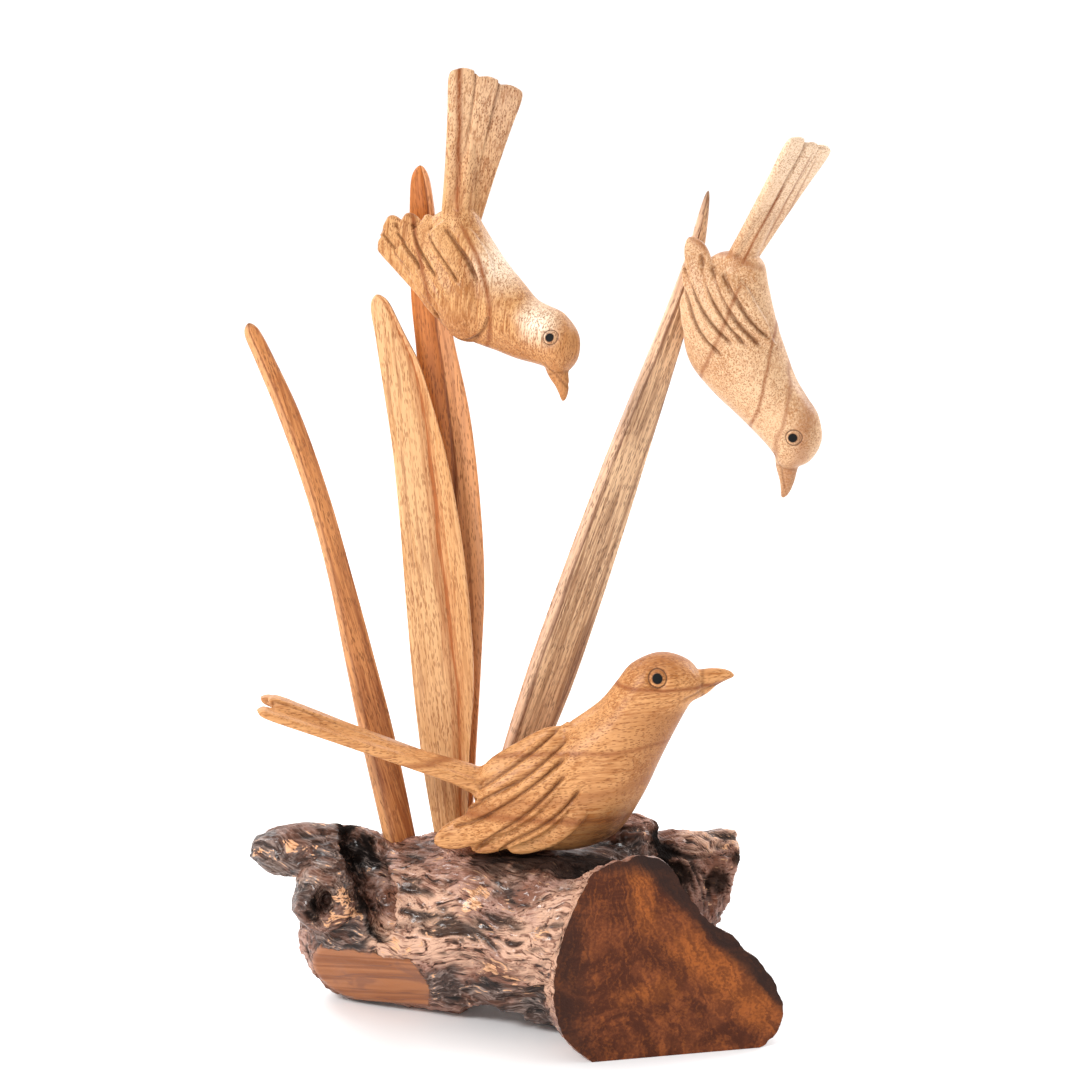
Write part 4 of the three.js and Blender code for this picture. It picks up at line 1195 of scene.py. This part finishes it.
def barkMaterial(look):
    # Varnished bark: flowing wrinkles, worn pale places with a painted highlight on the rear stub's top, bare flakes,
    # char, painted shade in its low places and painted shadow in the holes and under the low bird
    material, tree = newMaterial("barkWood")
    inMm = mapped(tree, node(tree, "TexCoord").outputs["Object"], scale=(1000, 1000, 1000))
    turn = Vector((0.8, -0.58, 0.1)).rotation_difference(Vector((1, 0, 0))).to_euler()
    bend = node(tree, "TexNoise")
    feed(tree, bend.inputs["Vector"], mapped(tree, inMm, scale=(0.05, 0.05, 0.05)))
    bend.inputs["Scale"].default_value = 1
    shifted = node(tree, "VectorMath", operation="MULTIPLY_ADD")
    feed(tree, shifted.inputs[0], bend.outputs["Color"])
    shifted.inputs[1].default_value = (16, 16, 16)
    feed(tree, shifted.inputs[2], inMm)
    along = mapped(tree, shifted.outputs[0], rotation=turn)
    tone = cloud(tree, mapped(tree, along, scale=(0.05, 0.11, 0.11)), detail=3, rough=0.6)
    wrinkles = cloud(tree, mapped(tree, along, scale=(0.08, 0.55, 0.55)), detail=2.5, rough=0.6, bend=0.2)
    fibres = cloud(tree, mapped(tree, along, scale=(0.16, 1.5, 1.5)), detail=1.5, rough=0.6)
    grain = sum2(tree, "ADD", sum2(tree, "MULTIPLY", wrinkles, 0.6), sum2(tree, "MULTIPLY", fibres, 0.4))
    raised = value(tree, "height")
    colour = blended(tree, spread(tree, tone, 0.42, 0.6), look["brown"], look["mauve"])
    # pale bark, with a painted highlight on the rear stub's top
    colour = blended(tree, sum2(tree, "MULTIPLY", value(tree, "pale"), 0.8), colour, look["pale"])
    colour = blended(tree, spread(tree, grain, 0.52, 0.42, 0, 0.85), colour, look["brown"])
    colour = blended(tree, spread(tree, grain, 0.44, 0.36, 0, 0.9), colour, look["dark"])
    # painted shade in the low places of the bark
    colour = blended(tree, spread(tree, raised, -0.1, -0.9, 0, 0.9), colour, look["dark"])
    colour = blended(tree, spread(tree, grain, 0.55, 0.64, 0, 0.35), colour, look["pale"])
    frayed = sum2(tree, "ADD", value(tree, "bare"), sum2(tree, "MULTIPLY", sum2(tree, "SUBTRACT", grain, 0.5), 4))
    bare = spread(tree, frayed, 0.5, 0.6)
    tan = blended(tree, spread(tree, fibres, 0.4, 0.56), look["tanDark"], look["tan"])
    colour = blended(tree, bare, colour, tan)
    scorched = blended(tree, spread(tree, grain, 0.46, 0.66), look["charDark"], look["charPale"])
    scorched = blended(tree, spread(tree, tone, 0.5, 0.64, 0, 0.5), scorched, look["brown"])
    scorched = blended(tree, bare, scorched, tan)
    colour = blended(tree, value(tree, "char"), colour, scorched)
    rings = cloud(tree, mapped(tree, mapped(tree, inMm, rotation=(0, 0.12, 0.42)), scale=(0.012, 0.05, 0.3)),
                  detail=2, bend=0.8)
    smoothWood = blended(tree, spread(tree, rings, 0.4, 0.62), look["planed"], look["planedLine"])
    line = sum2(tree, "ABSOLUTE", sum2(tree, "SUBTRACT", rings, 0.53))
    smoothWood = blended(tree, spread(tree, line, 0.016, 0, 0, 0.8), smoothWood, look["brown"])
    smoothWood = blended(tree, spread(tree, tone, 0.46, 0.36, 0, 0.6), smoothWood, look["brown"])
    planed = value(tree, "planed")
    colour = blended(tree, planed, colour, smoothWood)
    paintedShadow = value(tree, "paintedShadow")
    # painted shadow
    colour = blended(tree, paintedShadow, colour, look["paintedShadow"])
    rough = sum2(tree, "ADD", spread(tree, fibres, 0.4, 0.6, 0.55, 0.4), sum2(tree, "MULTIPLY", paintedShadow, 0.4))
    relief = sum2(tree, "MULTIPLY", grain, spread(tree, planed, 0, 1, 1, 0.1))
    relief = sum2(tree, "MULTIPLY", relief, spread(tree, value(tree, "char"), 0, 1, 1, 0.6))
    coat = sum2(tree, "MULTIPLY", spread(tree, paintedShadow, 0, 0.6, 1, 0), spread(tree, tone, 0.4, 0.6, 0.5, 0.2))
    closed(tree, colour, rough, relief, reach=2.2, strength=1, coat=coat, glint=0.06, coatRough=0.2)
    return material


def sawnMaterial(look):
    # End grain: fine rays, orange streaks and a dark band along the right rim
    material, tree = newMaterial("sawnWood")
    spot = node(tree, "TexCoord").outputs["Object"]
    saw = Matrix.Scale(mm, 4) @ Matrix.Translation(-middle) @ sawFrame()
    face = mapped(tree, spot, location=tuple(saw.to_translation()), rotation=saw.to_euler(),
                  scale=(mm, mm, mm), kind="TEXTURE")
    parts = node(tree, "SeparateXYZ")
    feed(tree, parts.inputs[0], face)
    along, up = parts.outputs[0], parts.outputs[1]
    swirl = cloud(tree, face, scale=0.05, detail=5, rough=0.62, bend=2.5)
    colour = blended(tree, spread(tree, swirl, 0.4, 0.6), look["sawn"], look["sawnRed"])
    wave = sum2(tree, "MULTIPLY", sum2(tree, "SUBTRACT", cloud(tree, face, scale=0.09, detail=5, rough=0.7), 0.5), 18)
    for start, end, wide, strength in (((14, 58), (19, 40), 6, 0.7), ((27, 36), (57, 8), 9, 0.75),
                                       ((8, 18), (26, 22), 5, 0.5)):
        run = Vector(end) - Vector(start)
        across = Vector((-run.y, run.x)).normalized()
        gap = sum2(tree, "ADD", sum2(tree, "MULTIPLY", along, across.x), sum2(tree, "MULTIPLY", up, across.y))
        gap = sum2(tree, "ABSOLUTE", sum2(tree, "ADD", sum2(tree, "SUBTRACT", gap, Vector(start).dot(across)), wave))
        reach = sum2(tree, "ADD", sum2(tree, "MULTIPLY", along, run.normalized().x),
                     sum2(tree, "MULTIPLY", up, run.normalized().y))
        first = Vector(start).dot(run.normalized())
        ends = sum2(tree, "MULTIPLY", spread(tree, reach, first - 5, first + 5),
                    spread(tree, reach, first + run.length + 6, first + run.length - 6))
        share = sum2(tree, "MULTIPLY", spread(tree, gap, wide, wide * 0.1, 0, strength), ends)
        colour = blended(tree, share, colour, look["sawnOrange"])
    outward = sum2(tree, "ARCTAN2", sum2(tree, "SUBTRACT", along, 6), sum2(tree, "SUBTRACT", 84, up))
    joined = node(tree, "CombineXYZ")
    feed(tree, joined.inputs[0], sum2(tree, "MULTIPLY", sum2(tree, "ADD", outward, sum2(tree, "MULTIPLY", wave, 0.012)), 46))
    feed(tree, joined.inputs[1], sum2(tree, "MULTIPLY", up, 0.13))
    rays = cloud(tree, joined.outputs[0], detail=1.5, bend=0.3)
    fine = cloud(tree, face, scale=1.1, detail=1.5)
    grain = sum2(tree, "ADD", sum2(tree, "MULTIPLY", rays, 0.6), sum2(tree, "MULTIPLY", fine, 0.4))
    colour = blended(tree, spread(tree, grain, 0.6, 0.36, 0, 0.65), colour, look["sawn"])
    colour = blended(tree, spread(tree, grain, 0.48, 0.7, 0, 0.35), colour, look["sawnOrange"])
    slope = sum2(tree, "ADD", sum2(tree, "MULTIPLY", along, 0.735), sum2(tree, "MULTIPLY", up, 0.678))
    edge = sum2(tree, "ADD", slope, sum2(tree, "MULTIPLY", wave, 0.2))
    colour = blended(tree, spread(tree, edge, 49.5, 53.5, 0, 0.85), colour, look["sawnDark"])
    leftEdge = sum2(tree, "ADD", along, sum2(tree, "MULTIPLY", wave, 0.6))
    colour = blended(tree, spread(tree, leftEdge, 4, -10, 0, 0.6), colour, look["sawnDark"])
    topEdge = sum2(tree, "ADD", up, sum2(tree, "MULTIPLY", wave, 0.4))
    colour = blended(tree, spread(tree, topEdge, 55, 61, 0, 0.6), colour, look["sawnDark"])
    closed(tree, colour, 0.5, grain, reach=0.7, strength=0.6, coat=0, glint=0.1)
    return material


makeCamera()
makeStage()
print("camera, floor and light ready")

for name in leaves:
    makeLeaf(name, paleWood(name + "Wood", leafLooks[name]))
for name, perch in perches.items():
    makeBird(name, paleWood(name + "Wood", birdLooks[name], eyesOf(perch)))
makeRoot([barkMaterial(rootLook), sawnMaterial(rootLook)])
